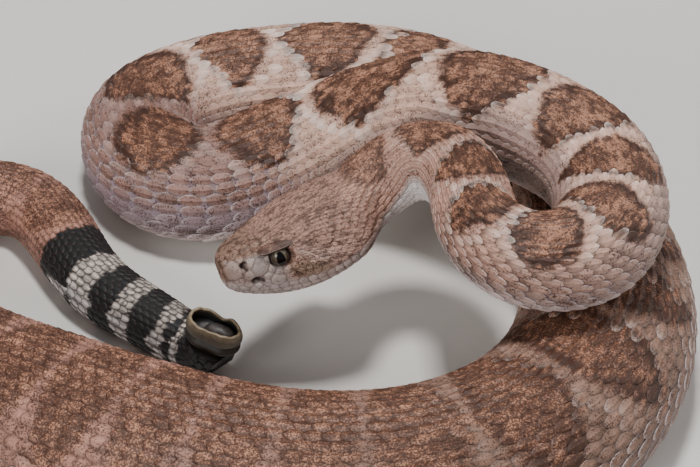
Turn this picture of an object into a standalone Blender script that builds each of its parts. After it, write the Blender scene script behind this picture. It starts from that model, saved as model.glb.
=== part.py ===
"""Western diamondback rattlesnake, life size, coiled with its neck raised in an S.

The animal lies on the floor at z = 0. Lengths are in millimetres, and one factor turns
them to metres when a mesh is made. The body is one tube that follows a route from the
head to the rattle, parted into lengths by thin cuts. The head is a loft of its own.
"""
import math

import bmesh
import bpy
import numpy as np
from mathutils import Matrix, Vector

MM = 0.001

# Driving dimensions of the body
BELLY = 0.86            # the belly is flat at this share of the half height
SIDES = 20              # sides of a body section
RING_STEP = 6.0         # distance between sections along the body
GAP = 0.32              # width of the cuts that part the body

# The route of the body from inside the head to the root of the rattle:
# x, y, height of the belly over the floor, half width, half height
ROUTE = [
    (21.0, -8.0, 32.5, 9.4, 9.1),
    (30.5, 1.0, 33.5, 9.5, 9.2),
    (39.0, 4.5, 37.0, 9.8, 9.7),
    (47.5, 1.5, 39.0, 9.9, 10.2),
    (53.0, -8.5, 39.0, 9.9, 10.4),
    (56.0, -23.5, 38.5, 10.4, 10.8),
    (63.0, -31.0, 37.0, 11.2, 11.4),
    (72.0, -32.5, 35.5, 12.2, 12.2),
    (81.5, -28.0, 34.5, 13.1, 13.1),
    (87.0, -15.5, 34.0, 14.2, 13.7),
    (84.5, 3.0, 33.5, 14.7, 14.2),
    (69.0, 21.0, 32.5, 15.2, 14.6),
    (48.0, 36.5, 26.0, 15.5, 14.8),
    (25.5, 44.0, 13.0, 15.9, 15.0),
    (3.5, 40.5, 4.5, 16.5, 15.0),
    (-13.5, 36.5, 1.0, 16.6, 15.0),
    (-25.5, 41.5, 0.0, 16.5, 14.9),
    (-31.5, 52.5, 0.0, 16.5, 14.7),
    (-30.5, 65.5, 0.0, 16.5, 14.6),
    (-20.0, 76.0, 0.0, 16.5, 14.5),
    (3.0, 83.0, 0.0, 16.9, 14.7),
    (30.0, 82.0, 0.0, 17.5, 15.3),
    (53.5, 69.0, 0.0, 18.6, 15.9),
    (69.5, 48.0, 0.0, 19.8, 16.5),
    (81.5, 23.5, 0.0, 20.7, 17.0),
    (88.0, -2.5, 0.0, 21.4, 17.4),
    (86.0, -29.5, 0.0, 22.7, 18.0),
    (74.0, -53.5, 0.0, 23.5, 18.5),
    (53.0, -70.0, 0.0, 24.0, 18.7),
    (27.0, -76.5, 0.0, 24.2, 18.7),
    (0.0, -74.0, 0.0, 24.2, 18.7),
    (-25.0, -65.0, 0.0, 23.6, 18.7),
    (-48.5, -51.5, 0.0, 21.8, 17.5),
    (-70.5, -36.0, 0.0, 19.7, 15.9),
    (-88.5, -16.0, 0.0, 17.4, 14.5),
    (-94.5, 8.5, 0.0, 15.2, 12.9),
    (-87.5, 27.0, 0.0, 12.3, 11.5),
    (-75.5, 35.5, 0.0, 10.5, 10.3),
    (-63.0, 35.0, 0.0, 9.7, 9.7),
    (-52.5, 24.0, 0.0, 9.5, 9.4),
    (-41.0, 4.0, 0.0, 8.8, 8.7),
    (-27.0, -9.0, 0.0, 7.8, 8.0),
    (-18.5, -15.5, 0.0, 7.2, 7.4),
    (-12.5, -20.5, 0.9, 6.6, 6.8),
    (-10.0, -23.0, 3.8, 6.1, 6.4),
    (-9.5, -23.5, 6.2, 5.8, 6.2),
]

# Lengths of the body: a name and where it starts, in millimetres along the route
LENGTHS = [
    ("neck_front", 13), ("neck_middle", 37), ("neck_back", 62),
    ("body_01", 88), ("body_02", 118), ("body_03", 150), ("body_04", 188),
    ("body_05", 226), ("body_06", 252), ("body_07", 280), ("body_08", 312),
    ("body_09", 352), ("body_10", 395), ("body_11", 438), ("body_12", 480),
    ("body_13", 522), ("body_14", 566), ("body_15", 612), ("body_16", 658),
    ("body_17", 700), ("body_18", 736), ("body_19", 762),
    ("tail_front", 786), ("tail_back", 812), ("tail_tip", 834),
]

NECK_ROLL = 20.0        # degrees that the neck turns its back away behind the head
NECK_ROLL_AT = 20.0     # where along the route that turn is full
NECK_ROLL_SPREAD = 18.0

# Place of the head: the tip of the snout, and how it is turned
SNOUT = (-6.8, -22.7, 33.5)
HEAD_YAW = 210.4
HEAD_PITCH = 7.1
HEAD_ROLL = 16.0
HEAD_SIDES = 32

# Sections of the head from the snout backwards: distance from the tip, half width,
# top, level of the widest place, bottom, narrowing towards the top, how square the crown is
HEAD = [
    (0.0, 1.5, 3.2, 0.6, -2.2, 0.05, 2.4),
    (0.7, 3.4, 4.5, 0.2, -4.6, 0.08, 2.6),
    (2.2, 4.9, 5.4, -0.4, -6.2, 0.12, 3.0),
    (4.5, 6.3, 6.0, -1.0, -7.6, 0.14, 3.3),
    (8.5, 7.9, 6.5, -1.8, -9.5, 0.14, 3.5),
    (13.0, 9.8, 7.0, -2.4, -11.0, 0.12, 3.5),
    (18.0, 12.2, 7.9, -2.6, -11.6, 0.09, 3.3),
    (24.0, 14.2, 8.6, -2.4, -11.2, 0.12, 3.0),
    (29.5, 15.2, 9.0, -1.8, -10.0, 0.18, 2.7),
    (33.5, 14.8, 9.2, -1.2, -8.7, 0.20, 2.5),
    (36.5, 12.9, 9.3, -0.6, -7.7, 0.14, 2.3),
    (40.0, 10.6, 9.4, 0.0, -7.0, 0.08, 2.1),
]
HEAD_STEPS = 26
HEAD_BOX_DOWN = 2.3     # how square the chin is: 2 is an ellipse
HEAD_BLEND = (35.0, 44.2)   # over this stretch the head's sections become the neck's

# The lip line: distance from the tip and level
LIP = [(-3.0, -3.9), (0.0, -4.2), (5.0, -5.9), (12.0, -7.1), (19.0, -7.2), (25.0, -6.6),
       (30.0, -5.3), (33.5, -4.0)]
LIP_END = 33.5
LIP_ROLL = 0.9          # radius of the roll of the lips
LIP_SINK = 0.45         # how far the middle of that roll lies under the skin

EYE_R = 2.7
EYE_AT = (13.1, 7.5, 1.6)       # behind the tip, out from the middle, up
BROW_AT = (12.9, 6.8, 4.8)
BROW_SIZE = (5.2, 3.0, 1.3)
BROW_TURN = (-14.0, 5.0, 8.0)   # outer edge down, front down, front inwards
NOSTRIL_AT = (4.3, 6.0, 1.9)
NOSTRIL_SIZE = (0.9, 0.9, 0.75)
PIT_AT = (6.5, 7.3, -2.6)
PIT_SIZE = (1.5, 1.5, 0.8)

# The rattle: distance from its root, half length, half thickness, depth of the side groove
RATTLE = [
    (0.0, 5.2, 4.3, 0.05),
    (0.5, 6.5, 4.7, 0.14),
    (1.3, 7.2, 4.9, 0.18),
    (2.1, 6.4, 4.2, 0.22),
    (2.6, 5.8, 3.7, 0.24),
    (3.1, 6.6, 4.3, 0.22),
    (4.2, 7.4, 4.8, 0.20),
    (5.6, 7.3, 4.7, 0.20),
    (7.0, 6.9, 4.4, 0.20),
]
RATTLE_SIDES = 24
RATTLE_TURN = 22.0      # degrees that the rattle is turned about its own length
RATTLE_WALL = 0.6
RATTLE_HOLLOW = 3.9     # how deep the broken end is open
RATTLE_LOBE = (4.3, 2.3, 3.1)   # the lobe of the next segment inside, and how high it stands

COLOURS = {
    "skin_neck": (0.30, 0.17, 0.11), "skin_body": (0.27, 0.15, 0.10),
    "skin_hind": (0.36, 0.18, 0.12), "skin_tail": (0.14, 0.12, 0.11),
    "skin_head": (0.29, 0.18, 0.13), "skin_chin": (0.42, 0.34, 0.30),
    "eye": (0.05, 0.04, 0.03), "rattle": (0.30, 0.19, 0.08),
}


def material(name, roughness):
    """A Principled material with the colour of that part of the animal."""
    mat = bpy.data.materials.new(name)
    mat.use_nodes = True
    shader = mat.node_tree.nodes["Principled BSDF"]
    shader.inputs["Base Color"].default_value = (*COLOURS[name], 1.0)
    shader.inputs["Roughness"].default_value = roughness
    shader.inputs["Metallic"].default_value = 0.0
    return mat


def new_object(name, mesh, mat, collection):
    """Put a mesh in the scene under its own name, with its material and smooth shading."""
    obj = bpy.data.objects.new(name, mesh)
    mesh.materials.clear()
    mesh.materials.append(mat)
    mesh.shade_smooth()
    mesh.set_sharp_from_angle(angle=math.radians(40))
    collection.objects.link(obj)
    return obj


def cubic_spline(knots, values, at):
    """Natural cubic spline through values at knots, and its slope, read at other places.

    The second slopes M solve h0 M0 + 2 (h0 + h1) M1 + h1 M2 = 6 (slope1 - slope0).
    """
    knots = np.asarray(knots, float)
    values = np.asarray(values, float)
    count = len(knots)
    h = np.diff(knots)
    slopes = np.diff(values, axis=0) / h[:, None]
    matrix = np.eye(count)
    right = np.zeros_like(values)
    for i in range(1, count - 1):
        matrix[i, i - 1:i + 2] = (h[i - 1], 2 * (h[i - 1] + h[i]), h[i])
        right[i] = 6 * (slopes[i] - slopes[i - 1])
    bend = np.linalg.solve(matrix, right)
    i = np.clip(np.searchsorted(knots, at, side="right") - 1, 0, count - 2)
    t = (at - knots[i])[:, None]
    w = h[i][:, None]
    b = slopes[i] - w * (2 * bend[i] + bend[i + 1]) / 6
    d = (bend[i + 1] - bend[i]) / (6 * w)
    point = values[i] + b * t + bend[i] / 2 * t ** 2 + d * t ** 3
    slope = b + bend[i] * t + 3 * d * t ** 2
    return point, slope


class Body:
    """The route as a smooth curve that can be read at any length along it."""

    def __init__(self, samples=4000):
        rows = np.array(ROUTE)
        steps = np.linalg.norm(np.diff(rows[:, :3], axis=0), axis=1)
        knots = np.concatenate([[0], np.cumsum(steps)])
        at = np.linspace(0, knots[-1], samples)
        place, slope = cubic_spline(knots, rows[:, :3], at)
        place[:, 2] = np.maximum(place[:, 2], 0)
        slope[:, 2] = np.where(place[:, 2] > 0, slope[:, 2], 0)
        self.place = place
        self.slope = slope
        self.width = np.interp(at, knots, rows[:, 3])
        self.height = np.interp(at, knots, rows[:, 4])
        run = np.linalg.norm(np.diff(place, axis=0), axis=1)
        self.run = np.concatenate([[0], np.cumsum(run)])
        self.total = self.run[-1]

    def at(self, s):
        """Middle of the section, its direction, its back and left, half width and height."""
        place = np.array([np.interp(s, self.run, self.place[:, i]) for i in range(3)])
        slope = np.array([np.interp(s, self.run, self.slope[:, i]) for i in range(3)])
        width = np.interp(s, self.run, self.width)
        height = np.interp(s, self.run, self.height)
        along = slope / np.linalg.norm(slope)
        back = np.array([0.0, 0.0, 1.0]) - along * along[2]
        back /= np.linalg.norm(back)
        left = np.cross(along, back)
        turn = math.radians(NECK_ROLL) * math.exp(-((s - NECK_ROLL_AT) / NECK_ROLL_SPREAD) ** 2)
        back, left = (back * math.cos(turn) - left * math.sin(turn),
                      left * math.cos(turn) + back * math.sin(turn))
        middle = place + np.array([0.0, 0.0, BELLY * height])
        return middle, along, back, left, width, height

    def ring(self, s, sides):
        """One section: an ellipse whose underside is cut flat, from the back round by the left."""
        middle, _, back, left, width, height = self.at(s)
        angle = np.linspace(0, 2 * np.pi, sides, endpoint=False)
        out = width * np.sin(angle)
        up = height * np.maximum(np.cos(angle), -BELLY)
        return middle + out[:, None] * left + up[:, None] * back


def loft(name, rings):
    """A closed skin over a row of sections with the same number of points."""
    rings = np.asarray(rings) * MM
    count, sides = rings.shape[:2]
    bm = bmesh.new()
    rows = [[bm.verts.new(p) for p in ring] for ring in rings]
    for first, second in zip(rows, rows[1:]):
        for j in range(sides):
            k = (j + 1) % sides
            bm.faces.new((first[j], first[k], second[k], second[j]))
    bm.faces.new(rows[0][::-1])
    bm.faces.new(rows[-1])
    bmesh.ops.recalc_face_normals(bm, faces=bm.faces)
    mesh = bpy.data.meshes.new(name)
    bm.to_mesh(mesh)
    bm.free()
    return mesh


def body_length(body, start, end):
    """Sections of one length of the body, evenly spaced between two cuts."""
    count = max(2, round((end - start) / RING_STEP))
    places = np.linspace(start + GAP / 2, end - GAP / 2, count + 1)
    return [body.ring(s, SIDES) for s in places]


def head_matrix():
    """Turns the head's own axes, snout along +X and crown along +Z, to the world's."""
    yaw = Matrix.Rotation(math.radians(HEAD_YAW), 4, "Z")
    pitch = Matrix.Rotation(math.radians(HEAD_PITCH), 4, "Y")
    roll = Matrix.Rotation(math.radians(HEAD_ROLL), 4, "X")
    return Matrix.Translation(Vector(SNOUT)) @ yaw @ pitch @ roll


def to_world(points):
    """Points of the head's own axes as places in the world, still in millimetres."""
    matrix = np.array(head_matrix())
    return np.asarray(points) @ matrix[:3, :3].T + matrix[:3, 3]


def head_sizes(behind):
    """Half width, top, level of the widest place, bottom, narrowing and squareness there."""
    table = np.array(HEAD)
    reach = np.clip(np.atleast_1d(behind), table[0, 0], table[-1, 0])
    sizes, _ = cubic_spline(np.sqrt(table[:, 0]), table[:, 1:], np.sqrt(reach))
    return sizes


def head_ring(behind, sides):
    """One section of the head: a rounded box, squarer above, narrower towards the crown."""
    width, top, middle, bottom, narrow, square = head_sizes(behind)[0]
    angle = np.linspace(0, 2 * np.pi, sides, endpoint=False)
    cos, sin = np.cos(angle), np.sin(angle)
    box = np.where(cos > 0, square, HEAD_BOX_DOWN)
    size = (np.abs(cos) ** box + np.abs(sin) ** box) ** (-1 / box)
    up = size * cos
    out = width * size * sin * (1 - narrow * np.maximum(up, 0) ** 2)
    level = middle + np.where(up > 0, (top - middle) * up, (middle - bottom) * up)
    return to_world(np.stack([np.full(sides, -float(behind)), out, level], axis=-1))


def head_rings(body, joint):
    """The head's sections from the snout to the cut, turning into the neck's at the end."""
    first, last = HEAD_BLEND
    steps = last * np.linspace(0, 1, HEAD_STEPS) ** 1.6
    rings = []
    for behind in steps:
        ring = head_ring(behind, HEAD_SIDES)
        share = np.clip((behind - first) / (last - first), 0, 1)
        share = share * share * (3 - 2 * share)
        if share > 0:
            s = joint - GAP / 2 - (last - behind)
            neck = body.ring(max(s, 0.0), HEAD_SIDES)
            ring = ring * (1 - share) + neck * share
        rings.append(ring)
    return rings


def lip_level(behind):
    """Level of the lip line at a distance behind the tip."""
    table = np.array(LIP)
    level, _ = cubic_spline(table[:, 0], table[:, 1:], np.atleast_1d(behind))
    return level[:, 0]


def lip_path():
    """The lip line on the skin, from the left corner of the mouth round the snout to the right."""
    behind = LIP_END * np.linspace(0.02, 1.03, 15) ** 1.7
    sizes = head_sizes(behind)
    level = lip_level(behind)
    share = np.clip((sizes[:, 2] - level) / (sizes[:, 2] - sizes[:, 3]), 0, 0.97)
    out = sizes[:, 0] * (1 - share ** HEAD_BOX_DOWN) ** (1 / HEAD_BOX_DOWN) - LIP_SINK
    out[-1] -= LIP_ROLL
    left = np.stack([-behind - LIP_SINK, out, level], axis=-1)
    right = left * (1, -1, 1)
    return np.concatenate([left[::-1], right])


def tube_rings(path, radius, sides):
    """Round sections along a path of points, each square to the way the path runs."""
    slope = np.gradient(path, axis=0)
    slope /= np.linalg.norm(slope, axis=1)[:, None]
    side = np.cross(slope, (0, 0, 1.0))
    side /= np.linalg.norm(side, axis=1)[:, None]
    up = np.cross(side, slope)
    angle = np.linspace(0, 2 * np.pi, sides, endpoint=False)
    cos, sin = np.cos(angle)[None, :, None], np.sin(angle)[None, :, None]
    return path[:, None] + radius * (cos * side[:, None] + sin * up[:, None])


def egg(name, place, size, turn=(0.0, 0.0, 0.0), segments=16, rows=10):
    """An egg shape in the head's own axes: place and half sizes in millimetres."""
    bm = bmesh.new()
    bmesh.ops.create_uvsphere(bm, u_segments=segments, v_segments=rows, radius=1.0)
    stretch = Matrix.Diagonal((*size, 1.0))
    turned = (Matrix.Rotation(math.radians(turn[2]), 4, "Z")
              @ Matrix.Rotation(math.radians(turn[1]), 4, "Y")
              @ Matrix.Rotation(math.radians(turn[0]), 4, "X"))
    matrix = head_matrix() @ Matrix.Translation(Vector(place)) @ turned @ stretch
    bmesh.ops.transform(bm, matrix=Matrix.Scale(MM, 4) @ matrix, verts=bm.verts)
    bmesh.ops.recalc_face_normals(bm, faces=bm.faces)
    mesh = bpy.data.meshes.new(name)
    bm.to_mesh(mesh)
    bm.free()
    return mesh


def jaw_block(name, grow):
    """All that lies under the lip line and ahead of the throat, as a tall slab across the head."""
    behind = np.linspace(LIP[0][0], LIP_END, 22)
    level = lip_level(behind) + grow
    line = [(-b, z) for b, z in zip(behind, level)]
    corner = -LIP_END - grow
    line[-1] = (corner, line[-1][1])
    floor = -16.0
    line += [(corner - 3.5, floor), (-LIP[0][0], floor)]
    half = 22.0
    rings = []
    for y in (-half, half):
        rings.append(to_world([(x, y, z) for x, z in line]))
    return loft(name, rings)


def boolean(obj, others, operation):
    """Join or cut an object with a collection of closed meshes, and remove these."""
    group = bpy.data.collections.new("pieces of " + obj.name)
    bpy.context.scene.collection.children.link(group)
    for other in others:
        group.objects.link(other)
    modifier = obj.modifiers.new("join", "BOOLEAN")
    modifier.operand_type = "COLLECTION"
    modifier.collection = group
    modifier.operation = operation
    modifier.solver = "EXACT"
    bpy.context.view_layer.update()
    graph = bpy.context.evaluated_depsgraph_get()
    mesh = bpy.data.meshes.new_from_object(obj.evaluated_get(graph))
    obj.modifiers.clear()
    old = obj.data
    obj.data = mesh
    bpy.data.meshes.remove(old)
    for other in list(group.objects):
        bpy.data.objects.remove(other)
    bpy.data.collections.remove(group)


def loose(name, mesh):
    """An object that is not yet in any collection, to be joined or cut away."""
    return bpy.data.objects.new(name, mesh)


def largest_surface(obj):
    """Keep only the largest closed surface of an object."""
    bm = bmesh.new()
    bm.from_mesh(obj.data)
    bmesh.ops.remove_doubles(bm, verts=bm.verts, dist=0.000002)
    bmesh.ops.dissolve_degenerate(bm, edges=bm.edges, dist=0.000002)
    left_over = set(bm.verts)
    groups = []
    while left_over:
        seed = left_over.pop()
        group = {seed}
        front = [seed]
        while front:
            vert = front.pop()
            for edge in vert.link_edges:
                other = edge.other_vert(vert)
                if other in left_over:
                    left_over.remove(other)
                    group.add(other)
                    front.append(other)
        groups.append(group)
    keep = max(groups, key=len)
    drop = [v for v in bm.verts if v not in keep]
    bmesh.ops.delete(bm, geom=drop, context="VERTS")
    bm.to_mesh(obj.data)
    bm.free()


def mirrored(place, side):
    """A place given behind the tip, out and up, on the left (1) or the right (-1)."""
    return (-place[0], side * place[1], place[2])


def build_head(body, joint, mats, collection):
    """Head, lower jaw and eyes."""
    skull = new_object("head", loft("head", head_rings(body, joint)), mats["skin_head"], collection)
    added = [loose("lips", loft("lips", tube_rings_in_world()))]
    for side in (1, -1):
        turn = (side * BROW_TURN[0], BROW_TURN[1], -side * BROW_TURN[2])
        brow = egg("brow", mirrored(BROW_AT, side), BROW_SIZE, turn)
        added.append(loose("brow", brow))
    boolean(skull, added, "UNION")
    cuts = []
    for side, name in ((1, "left"), (-1, "right")):
        eye_place = mirrored(EYE_AT, side)
        socket = egg("socket", eye_place, (EYE_R + GAP,) * 3, segments=20, rows=12)
        cuts.append(loose("socket", socket))
        cuts.append(loose("nostril", egg("nostril", mirrored(NOSTRIL_AT, side), NOSTRIL_SIZE,
                                         segments=10, rows=6)))
        cuts.append(loose("pit", egg("pit", mirrored(PIT_AT, side), PIT_SIZE,
                                     segments=10, rows=6)))
        ball = egg("eye_" + name, eye_place, (EYE_R,) * 3, segments=16, rows=10)
        new_object("eye_" + name, ball, mats["eye"], collection)
    boolean(skull, cuts, "DIFFERENCE")
    jaw = new_object("lower_jaw", skull.data.copy(), mats["skin_chin"], collection)
    boolean(jaw, [loose("jaw block", jaw_block("jaw block", 0.0))], "INTERSECT")
    boolean(skull, [loose("jaw room", jaw_block("jaw room", GAP))], "DIFFERENCE")
    largest_surface(skull)
    largest_surface(jaw)


def tube_rings_in_world():
    """The roll of the lips, placed on the head."""
    rings = tube_rings(lip_path(), LIP_ROLL, 8)
    return to_world(rings.reshape(-1, 3)).reshape(rings.shape)


def rattle_ring(middle, back, left, half_length, half_thick, groove):
    """One section of the rattle: an oval with a groove down the middle of each flat side."""
    angle = np.linspace(0, 2 * np.pi, RATTLE_SIDES, endpoint=False)
    up = half_length * np.cos(angle)
    pinch = 1 - groove * np.exp(-(np.cos(angle) / 0.45) ** 2)
    out = half_thick * np.sin(angle) * pinch
    return middle + up[:, None] * back + out[:, None] * left


def build_rattle(body, mats, collection):
    """The rattle: its fused segments, the broken open end and the lobe inside it."""
    middle, along, back, left, _, _ = body.at(body.total)
    turn = math.radians(RATTLE_TURN)
    back, left = (back * math.cos(turn) + left * math.sin(turn),
                  left * math.cos(turn) - back * math.sin(turn))
    rows = list(RATTLE)
    top, half_length, half_thick, groove = RATTLE[-1]
    inside = (half_length - RATTLE_WALL, half_thick - RATTLE_WALL, groove)
    floor = top - RATTLE_HOLLOW
    lobe_length, lobe_thick, lobe_top = RATTLE_LOBE
    rows.append((top - 0.1, *inside))
    rows.append((floor + 0.9, *inside))
    rows.append((floor, lobe_length + 0.5, lobe_thick + 0.4, groove))
    rows.append((floor + 0.3, lobe_length, lobe_thick, groove))
    rows.append((floor + 0.8 * lobe_top, 0.85 * lobe_length, 0.85 * lobe_thick, groove))
    rows.append((floor + lobe_top, 0.45 * lobe_length, 0.45 * lobe_thick, groove))
    rings = []
    for far, half_length, half_thick, groove in rows:
        place = middle + along * (GAP + far)
        rings.append(rattle_ring(place, back, left, half_length, half_thick, groove))
    new_object("rattle", loft("rattle", rings), mats["rattle"], collection)


def main():
    for obj in list(bpy.data.objects):
        bpy.data.objects.remove(obj)
    collection = bpy.data.collections.new("western diamondback rattlesnake")
    bpy.context.scene.collection.children.link(collection)
    mats = {name: material(name, 0.25 if name == "eye" else 0.6) for name in COLOURS}
    body = Body()
    ends = [start for _, start in LENGTHS[1:]] + [body.total + GAP / 2]
    skins = {"neck": "skin_neck", "body": "skin_body", "tail": "skin_tail"}
    for (name, start), end in zip(LENGTHS, ends):
        skin = skins[name[:4]]
        if name in ("body_17", "body_18", "body_19"):
            skin = "skin_hind"
        new_object(name, loft(name, body_length(body, start, end)), mats[skin], collection)
    build_head(body, LENGTHS[0][1], mats, collection)
    build_rattle(body, mats, collection)


main()
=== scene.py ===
# %% [markdown]
# # A western diamondback rattlesnake, scale by scale
# The animal lies in a loose coil, its neck in an S and its head over the coil. The packed
# solids give its true size and pose. This file dresses them: one skin over all the flesh,
# some seven thousand keeled scales, belly scutes, the shields of the face, eyes and rattle.
# Everything is worked out in millimetres from the route of the body and turned to metres
# only when a mesh is made.

import math

import bpy
import numpy as np
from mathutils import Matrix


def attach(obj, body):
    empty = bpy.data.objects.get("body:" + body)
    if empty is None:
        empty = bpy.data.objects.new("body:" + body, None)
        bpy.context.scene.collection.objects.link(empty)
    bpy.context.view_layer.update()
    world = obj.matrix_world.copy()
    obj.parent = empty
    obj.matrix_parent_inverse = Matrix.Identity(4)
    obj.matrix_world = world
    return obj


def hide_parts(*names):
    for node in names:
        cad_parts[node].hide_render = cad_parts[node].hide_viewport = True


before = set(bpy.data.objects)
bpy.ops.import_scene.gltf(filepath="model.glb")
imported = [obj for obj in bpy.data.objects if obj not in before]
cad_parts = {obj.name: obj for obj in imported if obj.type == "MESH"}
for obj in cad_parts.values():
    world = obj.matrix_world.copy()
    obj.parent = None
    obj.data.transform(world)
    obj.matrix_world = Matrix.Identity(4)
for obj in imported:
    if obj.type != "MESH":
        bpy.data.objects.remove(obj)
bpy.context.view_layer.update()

# %% [markdown]
# ## Small helpers
# A mesh can be made with bmesh, with from_pydata or with foreach_set. Whole arrays through
# foreach_set are the fastest for a coat of scales, and they keep the code free of loops over
# points. Colours are written as sRGB hex, as a painter would note them, and turned to the
# linear values that a shader wants.

# %% Meshes, colours and nodes
MM = 0.001
RNG = np.random.default_rng(11)


def linear(code):
    """sRGB hex to linear red, green and blue: ((c + 0.055) / 1.055) to the power 2.4."""
    rgb = np.array([int(code[i:i + 2], 16) for i in (1, 3, 5)]) / 255
    return np.where(rgb <= 0.04045, rgb / 12.92, ((rgb + 0.055) / 1.055) ** 2.4)


def smooth(x):
    """A soft step: 3 x squared less 2 x cubed, held between 0 and 1."""
    x = np.clip(x, 0, 1)
    return x * x * (3 - 2 * x)


def bell(x, middle, width):
    """A soft bump: e to the power of minus the square of the distance from the middle, in widths."""
    return np.exp(-((x - middle) / width) ** 2)


def mesh_piece(name, points, faces, finish, attributes=None, uv=None):
    """A mesh object from points (N x 3, in mm) and quads (M x 4).

    A quad whose last corner repeats its first is a triangle. Attributes with three columns are
    colours, those with one are plain values, and uv goes into the map named OFBake.
    """
    points = np.asarray(points, float).reshape(-1, 3) * MM
    faces = np.asarray(faces, int)
    three = faces[:, 3] == faces[:, 0]
    sizes = np.where(three, 3, 4)
    keep = np.ones(faces.shape, bool)
    keep[three, 3] = False
    corners = faces[keep]
    mesh = bpy.data.meshes.new(name)
    mesh.vertices.add(len(points))
    mesh.vertices.foreach_set("co", points.ravel())
    mesh.loops.add(len(corners))
    mesh.loops.foreach_set("vertex_index", corners)
    mesh.polygons.add(len(faces))
    mesh.polygons.foreach_set("loop_start", np.concatenate([[0], np.cumsum(sizes)[:-1]]))
    mesh.update(calc_edges=True)
    for key, values in (attributes or {}).items():
        values = np.asarray(values, float)
        if values.ndim == 2:
            layer = mesh.attributes.new(key, "FLOAT_COLOR", "POINT")
            rgba = np.concatenate([values, np.ones((len(values), 1))], axis=1)
            layer.data.foreach_set("color", rgba.ravel())
        else:
            layer = mesh.attributes.new(key, "FLOAT", "POINT")
            layer.data.foreach_set("value", values)
    if uv is not None:
        layer = mesh.uv_layers.new(name="OFBake")
        layer.data.foreach_set("uv", np.asarray(uv)[corners].ravel())
    mesh.shade_smooth()
    mesh.materials.append(finish)
    piece = bpy.data.objects.new(name, mesh)
    bpy.context.scene.collection.objects.link(piece)
    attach(piece, "root")
    print(f"{name}: {int((sizes - 2).sum())} triangles")
    return piece


def grid_faces(rows, columns, closed=False):
    """Quads of a grid of points in row order; closed joins the last column to the first."""
    i, j = np.meshgrid(np.arange(rows - 1), np.arange(columns - (not closed)), indexing="ij")
    k = (j + 1) % columns
    quads = [i * columns + j, i * columns + k, (i + 1) * columns + k, (i + 1) * columns + j]
    return np.stack(quads, axis=-1).reshape(-1, 4)


def add_node(tree, kind, links=None, **settings):
    """A node with its settings and the sockets that feed it."""
    node = tree.nodes.new(kind)
    for key, value in settings.items():
        setattr(node, key, value)
    for socket, source in (links or {}).items():
        if isinstance(source, bpy.types.NodeSocket):
            tree.links.new(source, node.inputs[socket])
        else:
            node.inputs[socket].default_value = source
    return node


print("middle grey as linear light:", linear("#808080").round(3))

# %% [markdown]
# ## The body's route
# A snake is one long tube, so its whole shape is a line through space with a section at each
# place. The line is a natural cubic spline through the same points as the solids: x, y,
# height of the belly over the floor, half width and half height.

# %% Points of the route
ROUTE = np.array([
    (21.0, -8.0, 32.5, 9.4, 9.1),
    (30.5, 1.0, 33.5, 9.5, 9.2),
    (39.0, 4.5, 37.0, 9.8, 9.7),
    (47.5, 1.5, 39.0, 9.9, 10.2),
    (53.0, -8.5, 39.0, 9.9, 10.4),
    (56.0, -23.5, 38.5, 10.4, 10.8),
    (63.0, -31.0, 37.0, 11.2, 11.4),
    (72.0, -32.5, 35.5, 12.2, 12.2),
    (81.5, -28.0, 34.5, 13.1, 13.1),
    (87.0, -15.5, 34.0, 14.2, 13.7),
    (84.5, 3.0, 33.5, 14.7, 14.2),
    (69.0, 21.0, 32.5, 15.2, 14.6),
    (48.0, 36.5, 26.0, 15.5, 14.8),
    (25.5, 44.0, 13.0, 15.9, 15.0),
    (3.5, 40.5, 4.5, 16.5, 15.0),
    (-13.5, 36.5, 1.0, 16.6, 15.0),
    (-25.5, 41.5, 0.0, 16.5, 14.9),
    (-31.5, 52.5, 0.0, 16.5, 14.7),
    (-30.5, 65.5, 0.0, 16.5, 14.6),
    (-20.0, 76.0, 0.0, 16.5, 14.5),
    (3.0, 83.0, 0.0, 16.9, 14.7),
    (30.0, 82.0, 0.0, 17.5, 15.3),
    (53.5, 69.0, 0.0, 18.6, 15.9),
    (69.5, 48.0, 0.0, 19.8, 16.5),
    (81.5, 23.5, 0.0, 20.7, 17.0),
    (88.0, -2.5, 0.0, 21.4, 17.4),
    (86.0, -29.5, 0.0, 22.7, 18.0),
    (74.0, -53.5, 0.0, 23.5, 18.5),
    (53.0, -70.0, 0.0, 24.0, 18.7),
    (27.0, -76.5, 0.0, 24.2, 18.7),
    (0.0, -74.0, 0.0, 24.2, 18.7),
    (-25.0, -65.0, 0.0, 23.6, 18.7),
    (-48.5, -51.5, 0.0, 21.8, 17.5),
    (-70.5, -36.0, 0.0, 19.7, 15.9),
    (-88.5, -16.0, 0.0, 17.4, 14.5),
    (-94.5, 8.5, 0.0, 15.2, 12.9),
    (-87.5, 27.0, 0.0, 12.3, 11.5),
    (-75.5, 35.5, 0.0, 10.5, 10.3),
    (-63.0, 35.0, 0.0, 9.7, 9.7),
    (-52.5, 24.0, 0.0, 9.5, 9.4),
    (-41.0, 4.0, 0.0, 8.8, 8.7),
    (-27.0, -9.0, 0.0, 7.8, 8.0),
    (-18.5, -15.5, 0.0, 7.2, 7.4),
    (-12.5, -20.5, 0.9, 6.6, 6.8),
    (-10.0, -23.0, 3.8, 6.1, 6.4),
    (-9.5, -23.5, 6.2, 5.8, 6.2),
])
BELLY = 0.86                # the belly is flat at this share of the half height
NECK_ROLL = 20.0            # degrees that the neck turns its back away behind the head
NECK_ROLL_AT = 20.0         # station where it is rolled most
NECK_ROLL_SPREAD = 18.0
FINE_STEPS = 6000           # places at which the spline is read once and for all


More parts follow.
